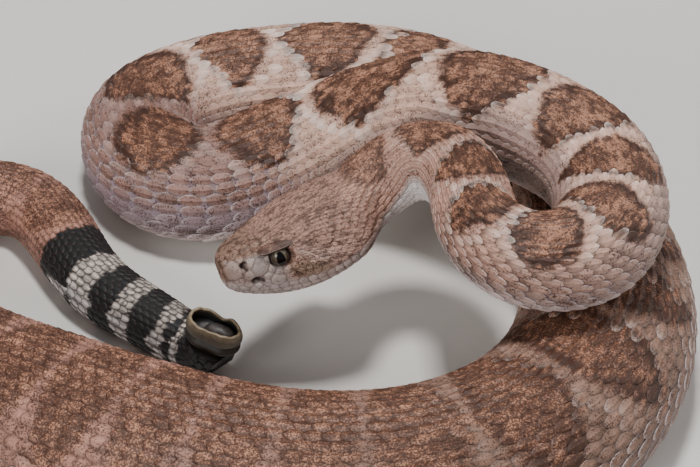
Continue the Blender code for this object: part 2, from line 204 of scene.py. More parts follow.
def cubic_spline(knots, values, at):
    """Natural cubic spline through values at knots, and its slope, read at other places.

    The second slopes M solve h0 M0 + 2 (h0 + h1) M1 + h1 M2 = 6 (slope1 - slope0).
    """
    knots = np.asarray(knots, float)
    values = np.asarray(values, float)
    count = len(knots)
    h = np.diff(knots)
    slopes = np.diff(values, axis=0) / h[:, None]
    matrix = np.eye(count)
    right = np.zeros_like(values)
    inner = np.arange(1, count - 1)
    matrix[inner, inner - 1] = h[:-1]
    matrix[inner, inner] = 2 * (h[:-1] + h[1:])
    matrix[inner, inner + 1] = h[1:]
    right[inner] = 6 * np.diff(slopes, axis=0)
    bend = np.linalg.solve(matrix, right)
    i = np.clip(np.searchsorted(knots, at, side="right") - 1, 0, count - 2)
    t = (at - knots[i])[:, None]
    w = h[i][:, None]
    b = slopes[i] - w * (2 * bend[i] + bend[i + 1]) / 6
    d = (bend[i + 1] - bend[i]) / (6 * w)
    return values[i] + b * t + bend[i] / 2 * t ** 2 + d * t ** 3, b + bend[i] * t + 3 * d * t ** 2


KNOTS = np.concatenate([[0], np.cumsum(np.linalg.norm(np.diff(ROUTE[:, :3], axis=0), axis=1))])
FINE = np.linspace(0, KNOTS[-1], FINE_STEPS)
PLACE, SLOPE = cubic_spline(KNOTS, ROUTE[:, :3], FINE)
PLACE[:, 2] = np.maximum(PLACE[:, 2], 0)
SLOPE[:, 2] = np.where(PLACE[:, 2] > 0, SLOPE[:, 2], 0)
RUN = np.concatenate([[0], np.cumsum(np.linalg.norm(np.diff(PLACE, axis=0), axis=1))])
SIZES = np.stack([np.interp(FINE, KNOTS, ROUTE[:, 3]), np.interp(FINE, KNOTS, ROUTE[:, 4])], axis=-1)
BODY_END = RUN[-1]
print(f"route: {BODY_END:.1f} mm long")

# %% [markdown]
# ## One surface for the whole animal
# Every scale needs a place, a direction and a normal. So the animal is one function of two
# numbers: the station, in millimetres along the body, and the angle round it from the back
# by the left side. Stations below 13 are the head, whose sections are rounded boxes that
# become the neck's ellipse. The head is measured in its own axes, from the tip of the snout
# backwards, so its sizes stay easy to compare with a drawing.

# %% Sizes of the head
SNOUT = np.array([-6.8, -22.7, 33.5])
HEAD_TURN = (210.4, 7.1, 16.0)      # yaw, pitch and roll in degrees
HEAD_LENGTH = 44.2
HEAD_JOINT = 12.84                  # station where the head's sections end
HEAD_BLEND = 35.0
CHIN_BOX = 2.3
# behind the tip, half width, top, widest level, bottom, narrowing, how square the crown is
HEAD = np.array([
    (0.0, 1.5, 3.2, 0.6, -2.2, 0.05, 2.4),
    (0.7, 3.4, 4.5, 0.2, -4.6, 0.08, 2.6),
    (2.2, 4.9, 5.4, -0.4, -6.2, 0.12, 3.0),
    (4.5, 6.3, 6.0, -1.0, -7.6, 0.14, 3.3),
    (8.5, 7.9, 6.5, -1.8, -9.5, 0.14, 3.5),
    (13.0, 9.8, 7.0, -2.4, -11.0, 0.12, 3.5),
    (18.0, 12.2, 7.9, -2.6, -11.6, 0.09, 3.3),
    (24.0, 14.2, 8.6, -2.4, -11.2, 0.12, 3.0),
    (29.5, 15.2, 9.0, -1.8, -10.0, 0.18, 2.7),
    (33.5, 14.8, 9.2, -1.2, -8.7, 0.20, 2.5),
    (36.5, 12.9, 9.3, -0.6, -7.7, 0.14, 2.3),
    (40.0, 10.6, 9.4, 0.0, -7.0, 0.08, 2.1),
])
LIP = np.array([(-3.0, -3.9), (0.0, -4.2), (5.0, -5.9), (12.0, -7.1), (19.0, -7.2),
                (25.0, -6.6), (30.0, -5.3), (33.5, -4.0)])
# middle of each feature: behind the tip, out from the middle, level
EYE_R = 2.7
EYE_AT = np.array([13.1, 7.5, 1.6])
NOSTRIL_AT = np.array([4.3, 6.0, 1.9])
PIT_AT = np.array([6.5, 7.3, -2.6])
HEAD_ROOTS = np.linspace(0, math.sqrt(HEAD[-1, 0]), 500)
HEAD_SIZES, _ = cubic_spline(np.sqrt(HEAD[:, 0]), HEAD[:, 1:], HEAD_ROOTS)
LIP_REACH = np.linspace(LIP[0, 0], LIP[-1, 0], 200)
LIP_LEVEL = cubic_spline(LIP[:, 0], LIP[:, 1:], LIP_REACH)[0][:, 0]
print(f"head: {HEAD_LENGTH} mm long, {2 * HEAD_SIZES[:, 0].max():.1f} mm broad")

# %% [markdown]
# ## Sections of the body
# Each section stands square to the route. A lofted curve object could do this too, but scales
# need the surface at any place, so the section is a formula: an ellipse whose underside is cut
# flat, turned a little about the route where the neck rolls.

# %% Ellipses square to the route


def read_columns(at, knots, table):
    """Each column of a table read at places along it, by straight lines between its rows."""
    return np.stack([np.interp(at, knots, column) for column in table.T], axis=-1)


def body_point(s, angle):
    """Ellipse with a flat underside, square to the route: width by the sine, height by the cosine."""
    place = read_columns(s, RUN, PLACE)
    along = read_columns(s, RUN, SLOPE)
    along /= np.linalg.norm(along, axis=-1, keepdims=True)
    width, height = np.moveaxis(read_columns(s, RUN, SIZES), -1, 0)
    back = np.array([0.0, 0.0, 1.0]) - along * along[..., 2:]
    back /= np.linalg.norm(back, axis=-1, keepdims=True)
    left = np.cross(along, back)
    turn = np.radians(NECK_ROLL) * bell(s, NECK_ROLL_AT, NECK_ROLL_SPREAD)
    cos, sin = np.cos(turn)[..., None], np.sin(turn)[..., None]
    back, left = back * cos - left * sin, left * cos + back * sin
    middle = place + np.stack([0 * height, 0 * height, BELLY * height], axis=-1)
    up = height * np.maximum(np.cos(angle), -BELLY)
    out = width * np.sin(angle)
    return middle + out[..., None] * left + up[..., None] * back


print("top of the neck at station 100, mm:", body_point(np.array([100.0]), 0.0)[0].round(1))

# %% [markdown]
# ## Sections of the head
# A pit viper's head is a flat-topped box that widens to the jaws. Superellipses give such a
# box: the higher the power, the squarer the corner. The eye socket, nostril and heat pit are
# sunk into it as soft bumps turned inwards, and the lips meet in a shallow groove.

# %% Rounded boxes in the head's own axes


def rotation(axis, degrees):
    """Turning matrix about x, y or z."""
    c, s = math.cos(math.radians(degrees)), math.sin(math.radians(degrees))
    i, j = {"x": (1, 2), "y": (2, 0), "z": (0, 1)}[axis]
    matrix = np.eye(3)
    matrix[i, i] = matrix[j, j] = c
    matrix[i, j], matrix[j, i] = -s, s
    return matrix


HEAD_MATRIX = rotation("z", HEAD_TURN[0]) @ rotation("y", HEAD_TURN[1]) @ rotation("x", HEAD_TURN[2])


def head_to_world(points):
    """Points of the head's own axes, snout along x, left along y, crown along z, in the world."""
    return points @ HEAD_MATRIX.T + SNOUT


def world_to_head(points):
    """The way back from head_to_world."""
    return (points - SNOUT) @ HEAD_MATRIX


def lip_level(behind):
    """Level of the line of the mouth at a distance behind the tip of the snout."""
    return np.interp(behind, LIP_REACH, LIP_LEVEL)


def head_local(behind, angle):
    """Rounded box: each half of the section is a superellipse, the upper one narrower at the top.

    Ahead of the first section the same outline shrinks to a point, which rounds the tip.
    """
    behind, angle = np.broadcast_arrays(np.asarray(behind, float), angle)
    shrink = np.clip(1 + behind, 0, 1)
    reach = np.sqrt(np.clip(behind, 0, HEAD[-1, 0]))
    sizes = read_columns(reach, HEAD_ROOTS, HEAD_SIZES)
    width, top, middle, bottom, narrow, square = np.moveaxis(sizes, -1, 0)
    cos, sin = np.cos(angle), np.sin(angle)
    box = np.where(cos > 0, square, CHIN_BOX)
    size = (np.abs(cos) ** box + np.abs(sin) ** box) ** (-1 / box)
    up = size * cos
    out = width * size * sin * (1 - narrow * np.maximum(up, 0) ** 2)
    rise = np.where(up > 0, (top - middle) * up, (middle - bottom) * up)
    level = middle + rise * shrink
    return np.stack([-np.maximum(behind, 0), out * shrink, level], axis=-1)


def features(local):
    """Sinks the eye sockets, nostrils and heat pits, and draws in the lower lip.

    Each sink is a bell over its oval; the depth pulls points towards the head's middle plane.
    """
    behind, out, level = -local[..., 0], np.abs(local[..., 1]), local[..., 2]
    side = np.sign(local[..., 1])

    def near(spot, wide, tall):
        """Squared distance from a spot, in half widths and half heights of an oval round it."""
        return ((behind - spot[0]) / wide) ** 2 + ((level - spot[2]) / tall) ** 2

    on_side = out > 3.0
    socket = 3.4 * np.exp(-near(EYE_AT, 2.55, 2.35) ** 4) * on_side
    nostril = 1.3 * np.exp(-near(NOSTRIL_AT, 0.75, 0.85) ** 2) * on_side
    pit = 1.8 * np.exp(-near(PIT_AT, 1.35, 0.75) ** 2) * on_side
    under = lip_level(behind) - level
    lip = (0.35 * smooth(under / 0.5 + 0.5) * np.clip(1 - under / 5, 0, 1)
           + 0.35 * bell(under, 0, 0.35))
    lip = lip * np.clip((LIP[-1, 0] - behind) / 2, 0, 1) * (level < 1)
    inward = socket + nostril + pit + lip
    length = np.maximum(np.hypot(out, 0.5 * level), 1e-6)
    moved = local.copy()
    moved[..., 1] -= side * inward * out / length
    return moved


print("tip of the snout, mm:", head_to_world(head_local(0.0, 0.0)).round(1))

# %% [markdown]
# ## One function for head and body
# Over the nape the head's boxes are blended into the neck's ellipses. The slopes of the
# surface come from small steps to either side, which is simple and never wrong, and their
# cross product is the outward normal.

# %% Surface and slopes
STATION_STEP = 0.05
ANGLE_STEP = 0.004


def surface(station, angle):
    """The animal's outer surface in mm: head, neck, body and tail as one function."""
    station, angle = np.broadcast_arrays(np.asarray(station, float), np.asarray(angle, float))
    body = body_point(np.clip(station, 0, BODY_END), angle)
    behind = station - HEAD_JOINT + HEAD_LENGTH
    on_head = behind < HEAD_LENGTH
    point = body.copy()
    if on_head.any():
        head = head_to_world(features(head_local(behind[on_head], angle[on_head])))
        share = smooth((behind[on_head] - HEAD_BLEND) / (HEAD_LENGTH - HEAD_BLEND))[..., None]
        point[on_head] = head * (1 - share) + body[on_head] * share
    return point


def slopes(station, angle):
    """Change of the surface per mm of station and per radian of angle, and the outward normal."""
    ahead, behind = surface(station + STATION_STEP, angle), surface(station - STATION_STEP, angle)
    by_station = (ahead - behind) / (2 * STATION_STEP)
    after, before = surface(station, angle + ANGLE_STEP), surface(station, angle - ANGLE_STEP)
    by_angle = (after - before) / (2 * ANGLE_STEP)
    normal = np.cross(by_angle, by_station)
    normal /= np.maximum(np.linalg.norm(normal, axis=-1, keepdims=True), 1e-9)
    return by_station, by_angle, normal


FIRST = HEAD_JOINT - HEAD_LENGTH
print(f"stations run from {FIRST:.1f} at the snout to {BODY_END:.1f} at the rattle")

# %% [markdown]
# ## Where the scales sit
# A diamondback has 25 rows of scales round its front body, each row half a scale out of step
# with the next. Here there are 29 on the neck and up to 33 on the thickest part, so that each
# scale keeps the size seen. The rows keep to the back's line, so places are measured round the
# body as a distance from the back, or as a share of the way from the back to the belly.
# Rows are lost one by one towards the tail: a lost row's share of the width shrinks to nothing,
# and its neighbours close up over it.

# %% Distances round the body and the rows of scales
TABLE_STEP = 0.5            # mm between the stations of the tables
STATIONS = np.arange(FIRST, BODY_END, TABLE_STEP)
HALF_TURN = np.linspace(0, math.pi, 121)
RINGS = surface(STATIONS[:, None], HALF_TURN[None, :])
ARCS = np.concatenate([np.zeros((len(STATIONS), 1)),
                       np.cumsum(np.linalg.norm(np.diff(RINGS, axis=1), axis=2), axis=1)], axis=1)
HALF_ROUND = ARCS[:, -1]
SHARES = np.linspace(0, 1, 161)
ANGLES = np.stack([np.interp(SHARES * arc[-1], arc, HALF_TURN) for arc in ARCS])
SHARE_OF_TURN = ARCS / HALF_ROUND[:, None]
DORSAL_SHARE = 0.785        # the dorsal scales cover this share of each half round
ROWS = 16                   # most rows on each side of the middle one
ROW_WIDTHS = np.interp(np.arange(1, ROWS + 1), (1, 8, 13, 16), (0.86, 0.90, 1.10, 1.45))
# stations where rows come in or end, by the number of the row, counted from the back
NECK_ROWS = {7: 172, 10: 158}
GAINED_ROWS = {10: 378, 12: 396, 7: 414, 5: 430}
LOST_ROWS = {5: 560, 7: 590, 10: 640, 12: 664, 4: 742, 8: 786, 11: 812}
ROW_FADE = 14.0


def half_round(station):
    """Distance round one half of the body, from the back to the middle of the belly."""
    return np.interp(station, STATIONS, HALF_ROUND)


def read_table(table, station, fraction):
    """Bilinear reading of a table whose rows are the stations and whose columns run from 0 to 1."""
    row = np.clip((station - STATIONS[0]) / TABLE_STEP, 0, len(STATIONS) - 1.001)
    column = np.clip(fraction, 0, 1) * (table.shape[1] - 1.001)
    i, j = row.astype(int), column.astype(int)
    u, v = row - i, column - j
    return ((1 - u) * ((1 - v) * table[i, j] + v * table[i, j + 1])
            + u * ((1 - v) * table[i + 1, j] + v * table[i + 1, j + 1]))


def angle_at(station, share):
    """Angle for a share of the half round, from 0 at the back to 1 at the belly, signed by side."""
    angle = read_table(ANGLES, station, np.abs(share))
    return np.where(share < 0, -angle, angle)


def share_at(station, angle):
    """Share of the half round at an angle, from 0 to 1 and without a sign."""
    turn = np.abs((angle + math.pi) % (2 * math.pi) - math.pi)
    return read_table(SHARE_OF_TURN, station, turn / math.pi)


def row_shares(station):
    """How wide each row is at a station: its own width, and 0 where it is lost or not yet there.

    Two rows of the neck end behind it and come back on the thick middle of the body.
    """
    station = np.asarray(station, float)
    shares = np.ones(station.shape + (ROWS,))
    for row, lost_at in LOST_ROWS.items():
        shares[..., row - 1] = 1 - smooth((station - lost_at) / ROW_FADE + 1)
    for row, gained_at in GAINED_ROWS.items():
        neck = 1 - smooth((station - NECK_ROWS.get(row, -100)) / ROW_FADE + 1)
        shares[..., row - 1] *= np.maximum(neck, smooth((station - gained_at) / ROW_FADE))
    return shares * ROW_WIDTHS


def row_pitch(station):
    """Distance between rows: the dorsal half round over the rows left, finer on the head."""
    rows = row_shares(station).sum(axis=-1) + 0.5
    on_body = DORSAL_SHARE * half_round(station) / rows
    on_head = np.interp(station, (-31, -22, -10, 0, 9, 17), (0.72, 0.86, 0.98, 1.2, 1.6, 1.95))
    return np.where(station < 17, np.minimum(on_head, on_body), on_body)


# station, and distance there from one scale to the next in its row
STEP_SIZES = np.array([(-31, 1.2), (-22, 1.4), (-10, 1.65), (0, 1.95), (9, 2.3), (22, 2.5),
                       (60, 2.8), (120, 3.2), (180, 3.6), (240, 3.9), (300, 4.2), (420, 4.7),
                       (470, 5.1), (540, 4.4), (610, 3.7), (680, 3.3), (760, 2.8), (797, 2.5),
                       (857, 2.1)])


def scale_step(station):
    """Distance from one scale to the next in its row."""
    return np.interp(station, *STEP_SIZES.T)


STEP_COUNT = np.concatenate([[0], np.cumsum(TABLE_STEP / scale_step(STATIONS))[:-1]])
print(f"scales along the back: {STEP_COUNT[-1]:.0f}, rows of {row_pitch(np.array([560.0]))[0]:.2f} mm")

# %% [markdown]
# ## Markings
# The pattern is painted by rule, as it grows: a chain of dark diamonds down the back, each
# edged with a line of cream scales, paler sides, and black and white rings on the tail. An
# image could carry all this, but rules stay sharp at any distance, and skin and scales that
# ask the same function always agree. Only the stations of the diamonds, of the cream bars
# between them and of the tail's rings are listed, with the colours.

# %% Places and colours
DIAMONDS = np.array([14, 29, 45, 60, 76, 94, 109, 128, 154, 189, 224, 255, 284, 309, 337, 361,
                     381, 401, 421, 441, 460, 479, 502, 528, 554, 575, 593, 611, 630, 650, 670,
                     690, 710, 730, 750, 770, 789], float)
CREAM_BARS = np.array([37, 53, 67, 86, 101, 118, 141, 171, 209, 240, 270, 298, 322, 352, 371],
                      float)
# station, and half width of a diamond there as a share of the half round
WIDTHS = np.array([(10, 0.40), (60, 0.38), (120, 0.40), (200, 0.36), (240, 0.32), (300, 0.33),
                   (420, 0.42), (560, 0.44), (790, 0.38)])
# stations where the rings of the tail begin, black and white by turns
TAIL_RINGS = np.array([799.5, 811.5, 818.7, 825.8, 831.5, 838.0, 842.0, 845.0, 847.5], float)
EDGES = (DIAMONDS[1:] + DIAMONDS[:-1]) / 2
for bar in CREAM_BARS:
    EDGES[np.argmin(np.abs(EDGES - bar))] = bar
EDGES = np.concatenate([[4.0], EDGES, [799.0]])
# stations where a stretch of the body begins, is fully there, begins to end and has ended
NECK_LOOP = (60, 80, 150, 190)
LEFT_BEND = (205, 225, 285, 305)
RIGHT_SIDE = (390, 430, 540, 570)
TAIL_FROM = 797
COLOUR = {name: linear(code) for name, code in {
    "upper": "#c39d8a", "side": "#9b8076", "bend": "#87665c", "low": "#d6c2be",
    "hind": "#a67867", "fore": "#7f6050",
    "diamond": "#9c6b51", "rust": "#a9765b", "mottle": "#291206", "cream": "#e6d4ca",
    "neck": "#b08674",
    "crown": "#a67e6e", "snout": "#8a6b5a", "face": "#ab9a93", "labial": "#b7a8a4",
    "cheek": "#c69e8e", "patch": "#84705a", "pale": "#bcaaa0", "chin": "#cdc2bb",
    "brow": "#472f25", "belly": "#d3c2b6", "black": "#0f0d0e", "white": "#eae2df",
    "tan": "#cbb8a8", "between": "#402e28", "lilac": "#9d8d98", "rim": "#d8cbca",
}.items()}
# nostril and heat pit, as rows of round spots: behind the tip, level, radius
HOLES = np.array([(4.7, 2.9, 0.42), (4.35, 2.3, 0.48), (4.3, 1.6, 0.48), (4.6, 1.0, 0.42),
                  (5.5, -2.4, 0.42), (6.2, -2.5, 0.55), (6.9, -2.75, 0.55), (7.6, -3.1, 0.42)])
CLOUD_CELLS = 48
CLOUD = RNG.random((CLOUD_CELLS, CLOUD_CELLS, CLOUD_CELLS))
print("diamonds:", len(DIAMONDS), "rings on the tail:", len(TAIL_RINGS), "colours:", len(COLOUR))

# %% [markdown]
# ## Diamonds
# A diamond is the set of places where the distance along, as a share of its half length, plus
# the distance down the side, as a share of its half width, is below one. Powers above one
# round its corners, and soft noise added to the sum makes the outline ragged.

# %% Blends, noise and the outline of a diamond


def mix(first, second, share):
    """Blend of two colours, by a share for each point."""
    return first + (second - first) * np.asarray(share)[..., None]


def cloud(points, size):
    """Value noise from 0 to 1: random numbers on a lattice of this size in mm, blended softly."""
    scaled = np.asarray(points) / size + 1000.0
    cell = np.floor(scaled).astype(int)
    part = smooth(scaled - cell)
    total = 0.0
    for corner in ((i, j, k) for i in (0, 1) for j in (0, 1) for k in (0, 1)):
        index = (cell + corner) % CLOUD_CELLS
        weight = np.where(np.array(corner) == 1, part, 1 - part).prod(axis=-1)
        total = total + weight * CLOUD[index[..., 0], index[..., 1], index[..., 2]]
    return total


def diamond_reach(station, share):
    """0 at the middle of a diamond, 1 on its outline, more outside."""
    i = np.clip(np.searchsorted(EDGES, station) - 1, 0, len(DIAMONDS) - 1)
    centre = DIAMONDS[i]
    half = np.where(station < centre, centre - EDGES[i], EDGES[i + 1] - centre)
    along = np.abs(station - centre) / half
    width = np.interp(centre, *WIDTHS.T)
    return along ** 1.5 + (np.abs(share) / width) ** 1.7


def outline_distance(station, share, small=0.3):
    """Distance in mm to the nearest outline of a diamond: reach less one, over its steepness."""
    reach = diamond_reach(station, share)
    after, before = diamond_reach(station + small, share), diamond_reach(station - small, share)
    along = (after - before) / (2 * small)
    across = (diamond_reach(station, np.abs(share) + small / half_round(station)) - reach) / small
    return (reach - 1) / np.maximum(np.hypot(along, across), 0.02)


print("reach at the middle of a diamond:", diamond_reach(DIAMONDS[9], 0.0),
      "and at its end:", diamond_reach(EDGES[9], 0.0))

# %% [markdown]
# ## Ground colour and mottling
# The ground is pale brown over the back, greyer down the sides and pale near the belly, and
# each stretch of the body leans to its own tint. The left bend is darker, which is painted shade,
# and its lower rows are lighter and lilac, partly their own tint and partly painted light. The
# diamonds are darker and densely mottled.
# Three sizes of noise make the mottling: soft clouds, fine patches, and a grit that is drawn
# out along the body, as the pigment follows the keels.

# %% Markings of neck and body


def strength(station):
    """How bold the pattern is: faint on the nape, bold on the body, fading to the tail."""
    return np.interp(station, (0, 9, 40, 640, 730, 797, 800), (0.35, 0.65, 1.0, 0.95, 0.7, 0.6, 0))


def ground(station, down):
    """The colour between the markings, by the stretch of the body and by how far down the side."""
    left_bend = np.interp(station, (212, 232, 280, 300), (0, 1, 1, 0))
    side_from = np.interp(station, (60, 90, 150, 180), (0.34, 0.18, 0.18, 0.34))
    colour = mix(COLOUR["upper"], COLOUR["side"], smooth((down - side_from) / 0.14))
    # the whole left bend is darker: painted shade
    colour = mix(colour, COLOUR["bend"], left_bend)
    # the left bend's lower rows turn lighter and lilac: partly their own tint, partly painted light
    colour = mix(colour, COLOUR["lilac"], 0.6 * left_bend * smooth((down - 0.38) / 0.14))
    colour = mix(colour, COLOUR["low"], smooth((down - 0.54) / 0.2))
    past_neck = smooth((station - 50) / 60 + 1.2 * smooth((down - 0.5) / 0.1))
    colour = mix(COLOUR["neck"], colour, past_neck)
    fore = 0.9 * smooth((station - 390) / 60) * smooth((0.72 - down) / 0.2)
    colour = mix(colour, COLOUR["fore"], fore)
    return mix(colour, COLOUR["hind"], smooth((station - 530) / 110))


def paint_rings(station, down, soft, fine, grit):
    """Where the tail is ringed, and the colours there.

    White rings are tan over the back and streaked with black, black ones streaked a little lighter
    along the body. On the flank the first white ring runs forward.
    """
    flank = smooth((down - 0.40) / 0.12) * smooth((station - 800) / 3) * smooth((816 - station) / 5)
    ring = np.searchsorted(TAIL_RINGS, station + 2.6 * soft + 1.8 * fine + 8 * flank)
    over_back = smooth((0.46 - down) / 0.2)
    streak = 0.36 * over_back + 1.0 * grit + 0.15 * smooth((station - 822) / 8)
    pale = mix(COLOUR["white"], COLOUR["tan"], 0.7 * over_back)
    pale = mix(pale, COLOUR["black"], np.clip(streak, 0, 0.9))
    # black rings streaked a little lighter by noise drawn out along the body
    streaked_black = COLOUR["black"] * (1 + 0.8 * np.clip(grit, 0, 1))[..., None]
    return ring > 0, np.where((ring % 2 == 1)[..., None], streaked_black, pale)


def paint_body(station, share, point):
    """Colour, and how thickly it is stippled with brown, at points of the body."""
    down = np.abs(share)
    flow = np.stack([0.5 * station + 0 * down, down * half_round(station),
                     0.3 * point[..., 0] + 0.3 * point[..., 1]], axis=-1)
    soft, fine, grit = cloud(point, 2.4) - 0.5, cloud(point, 1.1) - 0.5, cloud(flow, 0.5) - 0.5
    reach = diamond_reach(station, share) + 0.30 * soft + 0.26 * fine
    bold = strength(station)
    late = smooth((station - 520) / 60)
    dark = smooth((0.93 + 0.11 * late - reach) / (0.18 + 0.12 * late)) * bold
    middle = mix(COLOUR["diamond"], COLOUR["rust"], smooth((station - 450) / 90))
    colour = mix(ground(station, down), middle, 0.9 * dark)
    # brown patches: thickest along the inside of each outline, thin between the diamonds
    rim = bell(reach, 0.74, 0.20) * (1 - 0.85 * late)
    patches = 0.45 * fine + 0.85 * grit + 0.60 * soft
    mottle = smooth((patches + 0.28 * rim + 0.05 - 0.03 * late) / 0.10)
    brown = np.interp(station, (400, 480, 540, 600), (0.62, 0.60, 0.60, 0.54)) + 0.36 * rim
    colour = mix(colour, COLOUR["mottle"], brown * mottle * dark)
    # a second, fainter row of spots lies low on each side, between the diamonds
    spot = diamond_reach(station + 11.0, np.zeros_like(down))
    lower = np.exp(-(spot / 0.5) ** 2 - ((down - 0.60) / 0.07) ** 2) * bold
    colour = mix(colour, COLOUR["mottle"], 0.45 * lower * mottle)
    flecks = smooth((patches + 0.02) / 0.14) * (1 - dark)
    flecks = flecks * np.interp(station, (380, 420, 520, 560), (0.12, 0.25, 0.25, 0.30))
    colour = mix(colour, COLOUR["mottle"], flecks * smooth((0.76 - down) / 0.08))
    speckle = 0.40 + 0.5 * soft + 0.4 * fine - 0.12 * smooth((down - 0.5) / 0.2) + 0.35 * lower
    speckle = speckle + dark * np.interp(station, (400, 480), (0.40, 0.48))
    speckle = speckle + np.interp(station, LEFT_BEND + (390, 430), (0, 0.1, 0.1, 0, 0, 0.16))
    # the throat and the neck's flanks are white, the belly is cream
    white = smooth((down - 0.50) / 0.1) * smooth((station - 2) / 9) * smooth((54 - station) / 14)
    belly = smooth((down - 0.80) / 0.05)
    colour = mix(colour, COLOUR["white"], 0.9 * white)
    colour = mix(colour, COLOUR["belly"], belly)
    speckle = speckle * (1 - 0.7 * belly) * (1 - 0.85 * white)
    ringed, rings = paint_rings(station, down, soft, fine, grit)
    colour = np.where(ringed[..., None], rings, colour)
    return np.clip(colour, 0.002, 1), np.clip(np.where(ringed, 0.05, speckle), 0, 1)


print("strength of the pattern at stations 100 and 765:", strength(np.array([100, 765])).round(2))

# %% [markdown]
# ## Markings of the head
# The snout is brown, the face grey, the cheek warm, with a dark patch behind the eye under a
# pale stripe, and pale lips and chin. The crown's dark flecks come from noise drawn out along
# the head, as its keels are. Nostril and heat pit are sunk, and painted dark as painted shade in
# their depths.

# %% Head, and the blend over the nape


def paint_head(station, point):
    """Colour and stipple of the head, by distance behind the snout and level in its own axes."""
    local = world_to_head(point)
    behind, out, level = -local[..., 0], np.abs(local[..., 1]), local[..., 2]
    soft, fine = cloud(point, 1.6) - 0.5, cloud(point, 0.7) - 0.5
    fleck = cloud(local * (0.42, 1.0, 1.0), 0.62) - 0.5
    over_lip = level - lip_level(behind)
    colour = mix(COLOUR["snout"], COLOUR["crown"], smooth((behind - 8) / 8))
    cheek = smooth((4.5 - level + 2 * soft) / 5) * smooth((behind - 14) / 6)
    colour = mix(colour, COLOUR["cheek"], cheek)
    face = smooth((4.4 - level) / 1.2) * smooth((15.5 - behind) / 4) * smooth((behind - 0.4) / 1.5 + 0.4)
    colour = mix(colour, COLOUR["face"], face * np.interp(behind, (4, 6), (0.62, 1.0)))
    line = np.interp(behind, (15, 18, 24, 31), (3.0, 1.4, -1.2, -3.4))
    stripe = bell(level + soft, line, 1.7)
    stripe = stripe * smooth((behind - 15.5) / 2) * smooth((29 - behind) / 8)
    colour = mix(colour, COLOUR["pale"], 0.35 * stripe)
    middle = np.interp(behind, (14, 18, 24), (-1.6, -2.6, -4.4))
    patch = np.exp(-(((level - middle + soft) / 2.1) ** 4 + ((behind - 18.6) / 4.6) ** 4))
    colour = mix(colour, COLOUR["patch"], 0.85 * patch * smooth((fine + soft + 0.8) / 0.5))
    labial = smooth((3.2 - over_lip) / 1.4) * (level < 0)
    colour = mix(colour, COLOUR["labial"], 0.8 * labial * (1 - 0.6 * patch))
    under = smooth((-over_lip - 1.8) / 1.5)
    colour = mix(colour, COLOUR["chin"], under)
    pale = np.clip(face + labial + under + 0.3 * stripe, 0, 1)
    speckle = 0.52 - 0.18 * pale + 0.15 * soft + 0.3 * fine + 0.15 * patch
    speckle = speckle * (1 - 0.7 * under)
    dots = smooth((fleck + 0.22 * soft + 0.3 * fine - 0.08) / 0.08) * (1 - 0.7 * pale)
    colour = mix(colour, COLOUR["mottle"], 0.58 * dots)
    # nostril and heat pit: painted shade darkens their spots nearly to black
    hole = 0.0
    for at, height, radius in HOLES:
        apart = np.hypot(behind - at, level - height)
        hole = np.maximum(hole, smooth((radius + 0.15 - apart) / 0.3))
    colour = colour * (1 - 0.93 * hole * (out > 3))[..., None]
    return np.clip(colour, 0.002, 1), np.clip(speckle, 0, 1)


def paint(station, share, point):
    """The head's and the body's rules, blended over the nape."""
    colour, speckle = paint_body(station, share, point)
    head_colour, head_speckle = paint_head(station, point)
    nape = smooth((10 - station) / 11)
    return mix(colour, head_colour, nape), speckle + (head_speckle - speckle) * nape


back_colour = paint_body(np.array([154.0]), np.zeros(1), PLACE[:1])[0][0]
print("colour of the back at station 154:", back_colour.round(3))

# %% [markdown]
# ## Finishes
# Scales are dry keratin: matt, a little waxy, with a grain too fine to see, drawn here at a
# quarter of a millimetre so that it shows. Brown pigment lies on them as a fine stipple, so the
# finish mixes a dark brown through noise whose threshold follows the speckle value that each
# point carries. The skin between them is darker, partly its own colour and partly painted shadow
# in the gaps, and duller. Belly scutes are smoother, with a stronger highlight, and the shields
# of the head only a little smoother than the scales.

# %% Keratin, skin and shields
KERATIN_IOR = 1.54
STAIN_COVER = 0.84          # of the brown pigment over the painted colour
TONE_SCALE = 90.0           # noise cells per metre, for slow changes of tone
GRAIN_SCALE = 4200.0        # noise cells per metre, for the bumps


def new_finish(name):
    """A material by this name with an empty node tree."""
    finish = bpy.data.materials.new(name)
    finish.use_nodes = True
    finish.node_tree.nodes.clear()
    return finish, finish.node_tree


